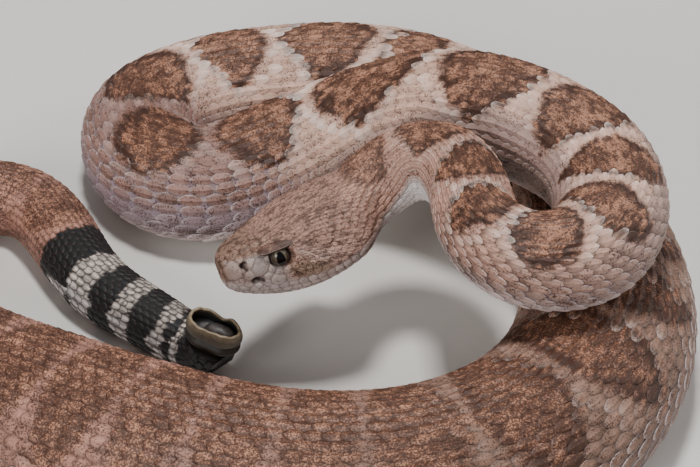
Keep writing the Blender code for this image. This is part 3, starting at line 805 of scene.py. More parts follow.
def keratin(name, rough, stipple_mm, grain, spec=0.35, stain="#371b0d"):
    """Dry keratin: painted colour, brown stipple by noise, slight change of tone, fine grain."""
    finish, tree = new_finish(name)
    place = add_node(tree, "ShaderNodeTexCoord").outputs["Object"]
    colour = add_node(tree, "ShaderNodeAttribute", attribute_name="paint").outputs["Color"]
    amount = add_node(tree, "ShaderNodeAttribute", attribute_name="speckle").outputs["Fac"]
    dots = add_node(tree, "ShaderNodeTexNoise", {"Vector": place, "Scale": 1000 / stipple_mm,
                                                 "Detail": 4.0, "Roughness": 0.6})
    level = add_node(tree, "ShaderNodeMath", {0: amount, 1: -0.25, 2: 0.66}, operation="MULTIPLY_ADD")
    above = add_node(tree, "ShaderNodeMath", {0: dots.outputs["Fac"], 1: level.outputs[0]},
                     operation="SUBTRACT")
    cover = add_node(tree, "ShaderNodeMath", {0: above.outputs[0], 1: 14.0}, operation="MULTIPLY",
                     use_clamp=True)
    share = add_node(tree, "ShaderNodeMath", {0: cover.outputs[0], 1: STAIN_COVER},
                     operation="MULTIPLY")
    brown = add_node(tree, "ShaderNodeMix", {"Factor": share.outputs[0], "A": colour,
                                             "B": (*linear(stain), 1.0)}, data_type="RGBA")
    slow = add_node(tree, "ShaderNodeTexNoise", {"Vector": place, "Scale": TONE_SCALE, "Detail": 2.0})
    tone = add_node(tree, "ShaderNodeMapRange", {"Value": slow.outputs["Fac"], "From Min": 0.3,
                                                 "From Max": 0.7, "To Min": 0.9, "To Max": 1.1})
    shade = add_node(tree, "ShaderNodeVectorMath",
                     {0: brown.outputs["Result"], "Scale": tone.outputs[0]}, operation="SCALE")
    fine = add_node(tree, "ShaderNodeTexNoise", {"Vector": place, "Scale": GRAIN_SCALE, "Detail": 2.0})
    bump = add_node(tree, "ShaderNodeBump", {"Height": fine.outputs["Fac"], "Strength": grain,
                                             "Distance": 0.0001})
    shader = add_node(tree, "ShaderNodeBsdfPrincipled", {
        "Base Color": shade.outputs[0], "Roughness": rough, "IOR": KERATIN_IOR,
        "Specular IOR Level": spec, "Normal": bump.outputs["Normal"]})
    add_node(tree, "ShaderNodeOutputMaterial", {"Surface": shader.outputs[0]})
    return finish


SCALE_KERATIN = keratin("keeled_keratin_scales", 0.58, 0.46, 0.35)
SKIN_BETWEEN = keratin("soft_skin_between_scales", 0.8, 0.6, 0.5, spec=0.2)
SCUTE_KERATIN = keratin("smooth_belly_keratin", 0.38, 0.7, 0.15, spec=0.45)
SHIELD_KERATIN = keratin("smooth_head_shields", 0.55, 0.34, 0.25, spec=0.35)
print("finishes:", [m.name for m in (SCALE_KERATIN, SKIN_BETWEEN, SCUTE_KERATIN, SHIELD_KERATIN)])

# %% [markdown]
# ## The skin
# One closed skin takes the place of all the solids of flesh, so no cut shows. It lies inside
# them by the depth of the scales, which is a seventh of the distance between rows. Rings of
# points are closed at the snout and at the root of the rattle.

# %% One skin from snout to rattle
FLESH = sorted(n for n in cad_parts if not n.startswith(("eye", "rattle")))
COAT_DEPTH = 0.14           # of the distance between rows
HEAD_RINGS = 150
RING_GAP = 2.0              # mm between the rings of the body
LEAST_HEIGHT = 0.05         # of the skin over the floor


def coat_depth(station):
    """How far the skin lies inside the solids at a station."""
    return COAT_DEPTH * row_pitch(station)


def build_skin(around=128):
    """Rings of points moved inwards along the normal by the coat's depth, closed at both ends.

    The rings of the head lie closest at the snout: their distance grows with the power 1.25.
    """
    head = FIRST - 1 + (HEAD_LENGTH + 1) * np.linspace(0, 1, HEAD_RINGS) ** 1.25
    body = np.arange(HEAD_JOINT + 1.2, BODY_END, RING_GAP)
    stations = np.concatenate([head[1:], body, [BODY_END]])
    angle = np.linspace(0, 2 * math.pi, around, endpoint=False)
    s, a = np.meshgrid(stations, angle, indexing="ij")
    point = surface(s, a)
    _, _, normal = slopes(s, a)
    point = point - normal * coat_depth(s)[..., None]
    point[..., 2] = np.maximum(point[..., 2], LEAST_HEIGHT)
    ends = np.stack([point[0].mean(axis=0), point[-1].mean(axis=0)])
    points = np.concatenate([point.reshape(-1, 3), ends])
    count = len(stations)
    faces = grid_faces(count, around, closed=True)
    j = np.arange(around)
    k = (j + 1) % around
    tip, root = count * around, count * around + 1
    last = (count - 1) * around
    front = np.stack([j * 0 + tip, k, j, j * 0 + tip], axis=-1)
    rear = np.stack([j * 0 + root, last + j, last + k, j * 0 + root], axis=-1)
    share = share_at(s, a)
    colour, speckle = paint(s, share, point)
    # between the scales the skin is dark, partly its own colour and partly painted shadow in the gaps,
    # and lilac where it is stretched on the flanks
    lilac_from = np.interp(s, LEFT_BEND, (0.42, 0.22, 0.22, 0.42))
    stretched = smooth((share - lilac_from) / 0.15) * smooth((s - 60) / 40) * smooth((700 - s) / 100)
    gap = mix(COLOUR["between"], COLOUR["lilac"], stretched * np.ones_like(s))
    gap_share = np.interp(s, (0, 30, TAIL_FROM - 1, TAIL_FROM), (0.4, 0.7, 0.7, 0.15))
    colour = mix(colour, gap, gap_share)
    colour = np.concatenate([colour.reshape(-1, 3), [colour[0, 0], colour[-1, 0]]])
    speckle = np.concatenate([speckle.ravel(), [0, 0]])
    return mesh_piece("skin", points, np.concatenate([front, faces, rear])[:, ::-1], SKIN_BETWEEN,
                      {"paint": colour, "speckle": speckle})


skin = build_skin()
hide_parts(*FLESH)

# %% [markdown]
# ## Keeled scales
# Each dorsal scale is a leaf of keratin with a ridge down its middle. Its root is hidden under
# the scales in front of it and its tip lies over the ones behind. It could be one mesh repeated
# by Geometry Nodes, but each scale has to bend with the body under it, so every leaf is worked
# out on the surface function itself. First their places: rows along the body, each half a
# scale out of step with the next, like the loops of a net. Row by row their distance from the
# middle of the back is summed up, so rows may begin and end between their neighbours.

# %% Grid of a leaf, and the net of places
# shares of the length and of the half width at which a leaf has points; doubled ones make walls
LEAF_ALONG = np.array([0.0, 0.0, 0.20, 0.45, 0.68, 0.85, 0.95, 1.0, 1.0])
LEAF_ACROSS = np.array([-1.0, -1.0, -0.84, -0.50, -0.15, 0.0, 0.15, 0.50, 0.84, 1.0, 1.0])
SMALL_ALONG = np.array([0.0, 0.0, 0.35, 0.72, 0.94, 1.0])
SMALL_ACROSS = np.array([-1.0, -1.0, -0.42, 0.0, 0.42, 1.0, 1.0])
HEAD_LEAVES_END = 8.0       # station where the small scales of the head give way to the neck's
NAPE_END = 17.0             # station where the rows of the head have all joined those of the body
WIDEST_NET = 30             # rows on each side that the small scales of the head may reach
JITTER = 0.035              # of a step, by which scales lie out of line


def leaf_lattice(first, last, allowed):
    """Station, share, width of the row, its slope and its number for every scale in a stretch.

    Row k keeps a distance from the back of the pitch times the summed shares of rows 1 to k.
    Odd rows are half a step out of line.
    """
    rows = []
    steps = np.arange(math.floor(np.interp(first, STATIONS, STEP_COUNT)),
                      math.ceil(np.interp(last, STATIONS, STEP_COUNT)))
    for k in range(-WIDEST_NET, WIDEST_NET + 1):
        at = steps + 0.5 * (k % 2)
        station = np.interp(at, STEP_COUNT, STATIONS)
        station = station[(station >= first) & (station < last)]
        rows.append(np.stack([station, np.full(len(station), k)], axis=-1))
    station, k = np.concatenate(rows).T
    order = np.lexsort((k, station))
    station, k = station[order], k[order]
    station = station + RNG.normal(0, JITTER, len(station)) * scale_step(station)
    row = np.abs(k).astype(int)

    def distance(at):
        """Distance of each scale's row from the middle of the back, at these stations."""
        shares = np.concatenate([np.zeros((len(at), 1)), np.cumsum(row_shares(at), axis=1)], axis=1)
        inner = shares[np.arange(len(at)), np.minimum(row, ROWS)] + np.maximum(row - ROWS, 0)
        return row_pitch(at) * inner

    away = distance(station)
    slope = (distance(station + 1) - distance(station - 1)) / 2
    width = row_shares(station)[np.arange(len(station)), np.clip(row, 1, ROWS) - 1]
    share = away / half_round(station)
    lowest = np.where(station < HEAD_LEAVES_END, 0.94, DORSAL_SHARE * 0.985)
    keep = (share < lowest) & (width > 0.45) & ((row <= ROWS) | (station < NAPE_END))
    side = np.sign(k)
    share = share * np.where(k < 0, -1, 1)
    keep &= allowed(station, share)
    return station[keep], share[keep], width[keep], (slope * side)[keep], row[keep]


print("points of a leaf:", len(LEAF_ALONG) * len(LEAF_ACROSS))

# %% [markdown]
# ## Size and shape of a scale
# A scale is as long as its step and as wide as its row, with some overlap. On the outside of a
# bend the scales stand apart on stretched skin, turn oval and show pale rims; on the inside
# they are pushed together. Along the neck loop and the right side they are slender.

# %% Sizes, and the plan of a leaf


def each(values):
    """One value for each scale, ready to meet its grid of points."""
    return values[:, None, None]


def leaf_traits(station, away, stretch):
    """How far scales stand apart on a stretched flank, and how slender they are, from 0 to 1."""
    apart = smooth((away - 0.34) / 0.1) * smooth((stretch - 1.0) / 0.3) * smooth((station - 60) / 60)
    left_bend = np.interp(station, LEFT_BEND, (0, 1, 1, 0))
    apart = np.maximum(apart, left_bend * smooth((away - 0.16) / 0.1))
    return apart, np.interp(station, NECK_LOOP + RIGHT_SIDE, (0, 1, 1, 0) * 2)


def leaf_sizes(station, away, stretch, width, apart, slender):
    """Length and half width of every scale, in mm.

    The length follows the step, less than in proportion where the surface is squeezed or drawn
    out. The width follows the row's, with an overlap that shrinks down the side.
    """
    step = scale_step(station)
    length = 1.72 * step * np.clip(stretch, 0.2, 1) ** 0.72 * np.clip(stretch, 1, 2) ** 0.12
    length = length * (1 - 0.08 * smooth((away - 0.4) / 0.1))
    long = (1.18 + 0.12 * slender) * step * np.clip(stretch, 0.5, 1.7)
    overlap = np.interp(away, (0, 0.35, 0.5), (1.36, 1.32, 1.08))
    overlap = overlap + (1.24 - 0.12 * slender - overlap) * apart
    half = 0.5 * overlap * row_pitch(station) * np.minimum(width, 1.4)
    return length + (long - length) * apart, half * RNG.normal(1, 0.03, len(station))


def leaf_width(x, oval):
    """Half width of a leaf along its length: widest before the middle, rounded at the tip.

    By the share called oval it turns into an ellipse with slightly pointed ends.
    """
    tongue = (1 - np.abs((x - 0.44) / 0.565) ** 2.5) ** 0.60
    almond = (1 - np.abs((x - 0.5) / 0.505) ** 2) ** 0.64
    return tongue + (almond - tongue) * oval


print("half width of a leaf at half its length:", leaf_width(0.5, 0).round(3))

# %% [markdown]
# ## Colour of a scale
# Over the painted pattern each scale has marks of its own. Those on a diamond's border are
# cream, those on stretched skin have a pale rim, partly their own pale edge and partly a painted
# highlight, and those of the hind body a dark outline, partly their own dark edge and partly
# painted shadow in the gaps.
# The root is in the shade of the scales before it and the keel catches the light.

# %% Cream, rims, outlines and shade
KEEL_WIDTH = 0.14           # of the half width
OUTER_FROM = 0.79           # share of the half width where the outer border of a scale begins
OUTER_RUN = 0.19


def leaf_cream(station, away):
    """How cream each scale is: those nearest to the outline of a diamond, by a random share."""
    near = np.abs(outline_distance(station, away)) / (0.38 * scale_step(station))
    lowest = np.interp(station, (60, 76, 135, 150), (0.54, 0.29, 0.29, 0.54))
    cream = (near < 1) * (away < lowest) * RNG.uniform(0.4, 1.0, len(station))
    cream = cream * smooth((station - 6) / 8) * np.interp(away, (0.12, 0.3), (1.0, 0.75))
    cream = cream * np.where(station > 430, RNG.random(len(station)) < 0.6, 1)
    return cream * np.interp(station, (10, 40, 60, 76) + LEFT_BEND[:3] + (300, 420, 480, 590),
                             (0.1, 0.4, 0.65, 1.0, 1.0, 0.30, 0.30, 1.0, 0.9, 0.6, 0.0))


def tint_leaves(colour, speckle, u, v, station, away, stretch, apart, slender, keel):
    """Colour and stipple of the scales, from the painted ones and the share along and across.

    Rims and outlines follow the greater of the distance from the middle line and that towards
    the tip. Shade and shine multiply the colour.
    """
    tone = 1 + 0.06 * each(RNG.normal(0, 1, len(station)))
    body = smooth((station - 6) / 8)
    side = smooth((away - 0.36) / 0.12)
    root = (1 - u / 0.16) * each(apart * (1 - slender))
    from_middle = np.maximum(np.maximum(np.abs(v) * (u > 0.1), (u - 0.6) / 0.4), root)
    outer = smooth((from_middle - OUTER_FROM) / OUTER_RUN) * np.maximum(u > 0.3, each(apart))
    cream = each(leaf_cream(station, away))
    tip_from = np.interp(station, NECK_LOOP + (300, 460), (0.35, 0.6, 0.6, 0.35, 0.35, 0.62))
    tip = smooth((u - each(tip_from)) / 0.3) + 0 * v
    whole = each(np.interp(station, NECK_LOOP + (300, 460), (0.22, 0.05, 0.05, 0.22, 0.22, 0)))
    colour = mix(colour, COLOUR["cream"], cream * np.clip(whole + 0.35 * tip + 0.5 * outer, 0, 1))
    # pale rims, strongest low on the sides: partly each scale's own pale edge, partly painted highlight
    rim = np.maximum(0.50 * side, (0.60 + 0.2 * slender) * apart)
    rim = np.maximum(rim, 0.30 * slender * RNG.random(len(station))) * body
    rim = rim * np.interp(station, (560, 620, 680), (1, 0.7, 0.15))
    colour = mix(colour, COLOUR["rim"], each(rim) * outer)
    # dark outlines: partly each scale's own dark edge, partly painted shadow in the gaps between scales
    edge_and_gap_shadow = (1 - 0.7 * side) * body * np.interp(station, (430, 500, 780), (0.22, 0.58, 0.62))
    inwards = each(np.interp(station, (430, 590), (0.0, 0.09)))
    outline = each(edge_and_gap_shadow) * smooth((from_middle + inwards - OUTER_FROM) / OUTER_RUN) * (u > 0.3)
    colour = mix(colour, COLOUR["between"], outline * (1 - np.clip(1.4 * cream, 0, 1)))
    edged = each(smooth((station - TAIL_FROM) / 4)) * smooth((np.abs(v) - 0.35) / 0.4)
    colour = mix(colour, COLOUR["black"], 0.72 * edged + 0 * u)
    crest = each(keel) * bell(v, 0, KEEL_WIDTH) * smooth((u - 0.3) / 0.3)
    shine = each(0.28 + 0.20 * slender * np.maximum(side, apart)) * crest
    shade = each((0.50 - 0.30 * np.maximum(side, apart)) * np.clip(stretch, 0.3, 1))
    shade = shade * smooth((0.46 - u) / 0.28)
    flank = each(np.interp(station, (50, 90), (0.36, 0.0))) * bell(np.abs(v), 0.46, 0.2)
    colour = colour * (tone * (1 + shine) * (1 - shade) * (1.04 - flank))[..., None]
    speckle = speckle * (1 - 0.85 * np.clip(cream, 0, 1)) * (1 - 0.6 * outer * each(side))
    return np.clip(colour, 0.002, 1), speckle


print("marks of a scale:", [name for name in ("cream", "rim", "between", "black") if name in COLOUR])

# %% [markdown]
# ## Bending the leaves over the body
# Every point of a leaf is turned by the slope of its row, laid on the surface at its own
# station and angle, and lifted along the normal: flat at the root, highest along the keel and
# near the tip. The outermost points go down into the skin, so each scale is a closed body.

# %% Placing scales, as one mesh for each stretch
LEAF_ROOT = 0.42            # share of a leaf's length that lies ahead of its place
LOWEST = 0.02               # of the scales over the floor


def closed_patches(count, rows, columns):
    """Faces of many small grids, each closed below by quads between its two long edges."""
    i = np.arange(rows - 1) * columns
    under = np.stack([i, i + columns, i + 2 * columns - 1, i + columns - 1], axis=-1)
    one = np.concatenate([grid_faces(rows, columns), under])[:, ::-1]
    return (one[None] + (np.arange(count) * rows * columns)[:, None, None]).reshape(-1, 4)


def root_uv(station, share, ds, da):
    """Each scale's patch of the unwrap: the place of its root, spread by 0.0015 either way."""
    centre = np.stack([(station - station.min()) / (np.ptp(station) + 1e-6), (share + 1) / 2], axis=-1)
    spread = np.stack([ds / (np.abs(ds).max() + 1e-9), da / (np.abs(da).max() + 1e-9)], axis=-1)
    shape = (len(station),) + (1,) * (ds.ndim - 1) + (2,)
    return (0.01 + 0.98 * centre.reshape(shape) + 0.0015 * spread).reshape(-1, 2)


def place_leaves(name, finish, lattice, along, across):
    """Bends a leaf over the surface at every place, with a closed underside sunk in the skin."""
    station, share, width, slope, row = lattice
    away = np.abs(share)
    angle = angle_at(station, share)
    by_station, by_angle, _ = slopes(station, angle)
    stretch = np.clip(np.linalg.norm(by_station, axis=-1), 0.12, 3.0)
    across_mm = np.maximum(np.linalg.norm(by_angle, axis=-1), 1e-3)
    apart, slender = leaf_traits(station, away, stretch)
    length, half = leaf_sizes(station, away, stretch, width, apart, slender)
    u = along[None, :, None]
    v = across[None, None, :]
    x = (u - LEAF_ROOT) * each(length)
    y = each(half) * leaf_width(u, each(apart)) * v
    tilt = each(np.arctan(slope))
    ds = (x * np.cos(tilt) - y * np.sin(tilt)) / each(stretch)
    da = (y * np.cos(tilt) + x * np.sin(tilt)) / each(across_mm)
    s = np.clip(each(station) + ds, FIRST + 0.3, BODY_END)
    a = each(angle) + da
    base = surface(s, a)
    _, _, normal = slopes(s, a)
    keel = np.interp(row, (7, 10, 14), (1.0, 0.55, 0.2)) * np.where(station > 800, 0.7, 1.0)
    ridge = each(keel) * bell(v, 0, KEEL_WIDTH) * smooth(u / 0.2) * smooth((1.04 - u) / 0.2)
    lift = 0.175 * u - 0.075 * v ** 4 - 0.035 * smooth((u - 0.8) / 0.2) + 0.10 * ridge
    edge = np.ones((len(along), len(across)), bool)
    edge[1:-1, 1:-1] = False
    lift = np.where(edge[None], -0.05, lift) * each(row_pitch(station) * np.clip(stretch, 0.2, 1))
    point = base + normal * (lift - coat_depth(s))[..., None]
    point[..., 2] = np.maximum(point[..., 2], LOWEST)
    colour, speckle = paint(s, share_at(s, a), point)
    colour, speckle = tint_leaves(colour, speckle, u, v, station, away, stretch, apart, slender, keel)
    return mesh_piece(name, point, closed_patches(len(station), len(along), len(across)), finish,
                      {"paint": colour.reshape(-1, 3), "speckle": speckle.ravel()},
                      root_uv(station, share, ds, da))


def everywhere(station, share):
    """No limit to where scales grow."""
    return np.ones(len(station), bool)


COAT = {"neck": (HEAD_LEAVES_END, 110), "front": (110, 245), "middle": (245, 395), "right": (395, 520),
        "loop": (520, 640), "hind": (640, 765), "tail": (765, BODY_END - 1.0)}
for part, (first, last) in COAT.items():
    piece = place_leaves("scales_" + part, SCALE_KERATIN, leaf_lattice(first, last, everywhere),
                         LEAF_ALONG, LEAF_ACROSS)
print("pieces of the coat:", len(COAT))

# %% [markdown]
# ## Belly scutes
# Under the body lies one broad smooth scute for each ring of scales, like the plates of a
# caterpillar track. They could be cut from one sheet along the belly, but then no edge would
# overlap. Each is a strip carried across from one side to the other, its hind edge over the
# next one's front.

# %% Scutes of belly and tail
SCUTE_ALONG = np.array([0.0, 0.0, 0.35, 0.75, 0.96, 1.0])
SCUTE_ACROSS = np.array([-1.0, -1.0, -0.9, -0.75, -0.55, -0.3, 0.0, 0.3, 0.55, 0.75, 0.9, 1.0, 1.0])


def build_scutes(first=HEAD_LEAVES_END, last=BODY_END - 2.0):
    """Strips across the belly, from the lowest row of scales on one side to that on the other."""
    steps = np.arange(math.ceil(np.interp(first, STATIONS, STEP_COUNT)),
                      np.interp(last, STATIONS, STEP_COUNT))
    station = np.interp(steps, STEP_COUNT, STATIONS)
    u = SCUTE_ALONG[None, :, None]
    v = SCUTE_ACROSS[None, None, :]
    along = (u * (1.32 - 0.35 * np.abs(v) ** 3) - 0.4) * each(scale_step(station))
    s = np.clip(each(station) + along, FIRST, BODY_END)
    reach = 1.02 * (1 - DORSAL_SHARE) * (1 - 0.10 * smooth((u - 0.6) / 0.4) * np.abs(v))
    away = 1 - np.abs(v) * reach
    a = angle_at(s, away * np.ones_like(s)) * np.where(v < 0, -1, 1)
    base = surface(s, a)
    _, _, normal = slopes(s, a)
    size = each(row_pitch(station))
    lift = (0.10 * u - 0.02 * smooth((u - 0.9) / 0.1) + 0.012) * size + 0 * v
    # the front and the two ends are sunk in the skin, the hind edge lies free
    sunk = np.zeros((len(SCUTE_ALONG), len(SCUTE_ACROSS)), bool)
    sunk[:-1, [0, -1]] = True
    sunk[0] = True
    lift = np.where(sunk[None], -0.06 * size, lift)
    point = base + normal * (lift - coat_depth(s))[..., None]
    point[..., 2] = np.maximum(point[..., 2], LOWEST)
    count, rows, columns = point.shape[:3]
    faces = closed_patches(count, rows, columns)
    colour, speckle = paint(s, away * np.ones_like(s), point)
    pale = np.where(s[..., None] > TAIL_FROM, colour, mix(colour, COLOUR["belly"], 0.5))
    uv = root_uv(station, np.ones(count), along + 0 * v, v * reach + 0 * along)
    return mesh_piece("belly_scutes", point, faces, SCUTE_KERATIN,
                      {"paint": pale.reshape(-1, 3), "speckle": speckle.ravel() * 0.4}, uv)


scutes = build_scutes()

# %% [markdown]
# ## The head
# A rattlesnake's crown carries small keeled scales, but its face is paved with plates that fit
# edge to edge: a big prenasal and loreal, a rim round each eye, and the labials along the lips.
# Such paving can be cut by hand, one plate at a time. Here only the named plates get a listed
# place. The rest fill the gaps as cells, and every border lies between two neighbours. First come
# the small scales: the same leaf with fewer points, above a line that runs down the cheek.

# %% Crown and cheeks
# behind the tip, and the level there above which small scales grow
CHEEK_LINE = np.array([(11, 5.2), (15.8, 4.7), (17.4, 0.4), (19, -2.9), (24, -3.6), (30, -3.6),
                       (33, -4.4), (35, -7.0), (37, -20.0)])


def on_crown(behind, level, share):
    """Where small keeled scales grow: above the brows, then down the cheeks towards the neck."""
    line = np.interp(behind, *CHEEK_LINE.T)
    return (behind > 11) & (level > line) & (np.abs(share) < np.where(behind > 33, 0.94, 0.76))


def crown_allowed(station, share):
    """The part of the lattice that lies on the crown, the cheeks and the nape."""
    local = world_to_head(surface(station, angle_at(station, share)))
    return on_crown(-local[:, 0], local[:, 2], share)


crown_lattice = leaf_lattice(-21.0, HEAD_LEAVES_END, crown_allowed)
crown = place_leaves("scales_crown", SCALE_KERATIN, crown_lattice, SMALL_ALONG, SMALL_ACROSS)
print("small scales of the head:", len(crown_lattice[0]))

# %% [markdown]
# ## Places of the plates
# The named plates and the labials keep their places. Staggered rows of fill plates cover the
# rest of the face and the chin, and any that would lie on a named one is left out. Eyes,
# nostrils and heat pits stay bare.

# %% Places of the plates of the face
# behind the tip, level, radius of the plate, for both sides
FACE_PLATES = np.array([
    (1.9, 1.3, 2.6), (6.0, 2.5, 1.1), (8.0, 0.9, 2.4), (6.6, 4.2, 0.8), (8.2, 4.1, 0.75),
    (9.7, 3.8, 0.8), (10.3, 1.9, 0.9), (10.2, -0.4, 1.1), (11.5, -1.6, 1.0), (13.4, -1.9, 1.0),
    (15.2, -1.3, 0.9), (16.3, 0.4, 0.8), (16.6, 2.3, 0.8), (16.1, 4.0, 0.8), (10.8, -3.9, 1.9),
    (13.9, -4.0, 1.3), (4.2, -3.2, 0.9), (6.3, -4.4, 0.9), (8.3, -3.9, 1.0), (4.8, -0.6, 1.0),
    (3.4, 5.1, 1.1), (6.2, 5.6, 1.1), (9.0, 6.0, 1.1), (0.9, -3.0, 1.3),
])
LABIALS = np.linspace(3.2, 31.5, 14)
PLATE_TURNS = 18
PLATE_RINGS = np.array([0.0, 0.45, 0.76, 0.92, 1.0, 1.0])
NEIGHBOURS = 14             # nearest plates that can share a border
EYE_ROOM = 2.75             # radius kept clear of plates
HOLE_ROOM = 0.9
CHIN_END = 40.5


def angle_of_level(behind, level):
    """Angle at which a section of the head reaches a level, read off its own outline."""
    turns = np.linspace(0, math.pi, 361)
    levels = head_local(behind[:, None], turns[None, :])[..., 2]
    return np.array([np.interp(-aim, -row, turns) for aim, row in zip(level, levels)])


def fill_radius(share, behind):
    """Plates are smallest on the snout's top and largest on the chin."""
    by_share = np.interp(share, (0, 0.35, 0.55, 1), (0.78, 0.85, 1.0, 1.25))
    return by_share * np.interp(behind, (0, 14, 34), (0.95, 1, 1.15))


def in_plate_area(behind, angle):
    """Face, lips and chin, clear of eye, nostril and pit."""
    level = head_local(behind, angle)[..., 2]
    off_eye = np.hypot(behind - EYE_AT[0], level - EYE_AT[2]) > EYE_ROOM
    spots = HOLES[:, :, None]
    off_holes = np.hypot(behind - spots[:, 0], level - spots[:, 1]).min(axis=0) > HOLE_ROOM
    crowned = on_crown(behind, level, share_at(behind + FIRST, angle))
    return off_eye & off_holes & ~crowned & (behind < CHIN_END)


def named_places():
    """Distance behind the tip, angle, radius and kind of the plates with a listed place.

    Kind 1 is named, 2 upper and 3 lower labial, and 4 the spot of a hole, left bare.
    """
    behind, level, radius = np.concatenate([FACE_PLATES, HOLES]).T
    behind = np.concatenate([behind, LABIALS, LABIALS + 0.9])
    level = np.concatenate([level, lip_level(LABIALS) + 0.95, lip_level(LABIALS) - 1.05])
    radius = np.concatenate([radius, np.full(2 * len(LABIALS), 1.12)])
    kind = np.repeat([1, 4, 2, 3], [len(FACE_PLATES), len(HOLES), len(LABIALS), len(LABIALS)])
    return behind, angle_of_level(behind, level), radius, kind


def fill_places():
    """Rows of plates from the tip backwards, each half a plate out of step with the one before."""
    rows = []
    at, odd = 0.9, 0
    while at < 42:
        half = np.interp(at + FIRST, STATIONS, HALF_ROUND)
        share = np.linspace(0, 1, 60)
        count = np.cumsum((half / 59) / (1.9 * fill_radius(share, at)))
        places = np.interp(np.arange(0.25 + 0.5 * odd, count[-1], 1.0), count, share)
        rows.append(np.stack([np.full(len(places), at), angle_at(at + FIRST, places)], axis=-1))
        at += 1.65 * fill_radius(0.4, at)
        odd = 1 - odd
    behind, angle = np.concatenate(rows).T
    keep = in_plate_area(behind, angle)
    return behind[keep], angle[keep]


def face_places():
    """Station, angle, radius and kind of every plate of both sides; kind 0 is fill.

    The last two lie on the middle line: the rostral on the snout and the mental under it.
    """
    behind, angle, radius, kind = named_places()
    fill, turn = fill_places()
    size = fill_radius(share_at(fill + FIRST, turn), fill)
    away = surface(fill + FIRST, turn)[:, None] - surface(behind + FIRST, angle)[None]
    free = (np.linalg.norm(away, axis=-1) > 0.82 * (size[:, None] + radius[None])).all(axis=1)
    behind = np.concatenate([behind, fill[free]])
    angle = np.concatenate([angle, turn[free]])
    radius = np.concatenate([radius, size[free]])
    kind = np.concatenate([kind, np.zeros(free.sum())])
    station = np.concatenate([behind, behind, [-0.25, 0.8]]) + FIRST
    angle = np.concatenate([angle, -angle, [math.pi, math.pi]])
    radius = np.concatenate([radius, radius, [1.7, 1.3]])
    return station, angle, radius, np.concatenate([kind, kind, [1, 3]])


print("places by hand, holes included:", len(named_places()[0]))
print("plates before spreading, both sides:", len(face_places()[0]))

# %% [markdown]
# ## Plates as cells
# Fill plates first push each other apart. Then each plate reaches as far in every direction as
# the nearest border with a neighbour, and a narrow groove is left along it. The outline is laid
# on the surface, domed, and its rim let down into the skin.

# %% Spreading the plates, their outlines and their mesh
GROOVE = 0.045              # from the rim of a plate to its border
# height of the dome as a share of the radius: fill, named, upper and lower labial
DOME = np.array([0.13, 0.10, 0.15, 0.13])
HIGHEST_DOME = 0.19


def spread_places(station, angle, radius, kind, rounds=24):
    """Pushes fill plates that crowd each other apart, over the surface, a little in each round."""
    loose = kind == 0
    station = station + RNG.normal(0, 0.12, len(station)) * loose
    for _ in range(rounds):
        point = surface(station, angle)
        by_station, by_angle, _ = slopes(station, angle)
        away = point[:, None] - point[None]
        distance = np.linalg.norm(away, axis=-1) + 1e3 * np.eye(len(point))
        want = 0.95 * (radius[:, None] + radius[None])
        push = np.clip(1 - distance / want, 0, 1) * want / distance
        move = 0.35 * (push[..., None] * away).sum(axis=1) * loose[:, None]
        long, wide = (by_station ** 2).sum(-1), (by_angle ** 2).sum(-1)
        station = station + (move * by_station).sum(-1) / np.maximum(long, 0.2)
        angle = angle + (move * by_angle).sum(-1) / np.maximum(wide, 1.0)
        station = np.clip(station, FIRST - 0.6, None)
    keep = in_plate_area(station - FIRST, angle) | ~loose
    return station[keep], angle[keep], radius[keep], kind[keep]


def cell_outlines(centre, ahead, aside, radius):
    """Reach of each plate in every direction, up to the nearest border with a neighbour.

    A border crosses the line between two plates at a share of the way that follows their
    radii. The reaches are joined by a power mean, which rounds the corners.
    """
    away = centre[None] - centre[:, None]
    direct = np.linalg.norm(away, axis=-1) + 1e3 * np.eye(len(centre))
    near = np.argsort(direct, axis=1)[:, :NEIGHBOURS]
    direct = np.take_along_axis(direct, near, axis=1)
    way = np.take_along_axis(away, near[..., None], axis=1)
    bearing = np.arctan2((way * aside[:, None]).sum(-1), (way * ahead[:, None]).sum(-1))
    border = direct * radius[:, None] / (radius[:, None] + radius[near])
    turns = np.linspace(0, 2 * math.pi, PLATE_TURNS, endpoint=False)
    reach = border[..., None] / np.maximum(np.cos(turns - bearing[..., None]), 0.04)
    cell = (reach ** -10).sum(axis=1) ** -0.1
    return np.minimum(cell, 1.3 * radius[:, None]), turns


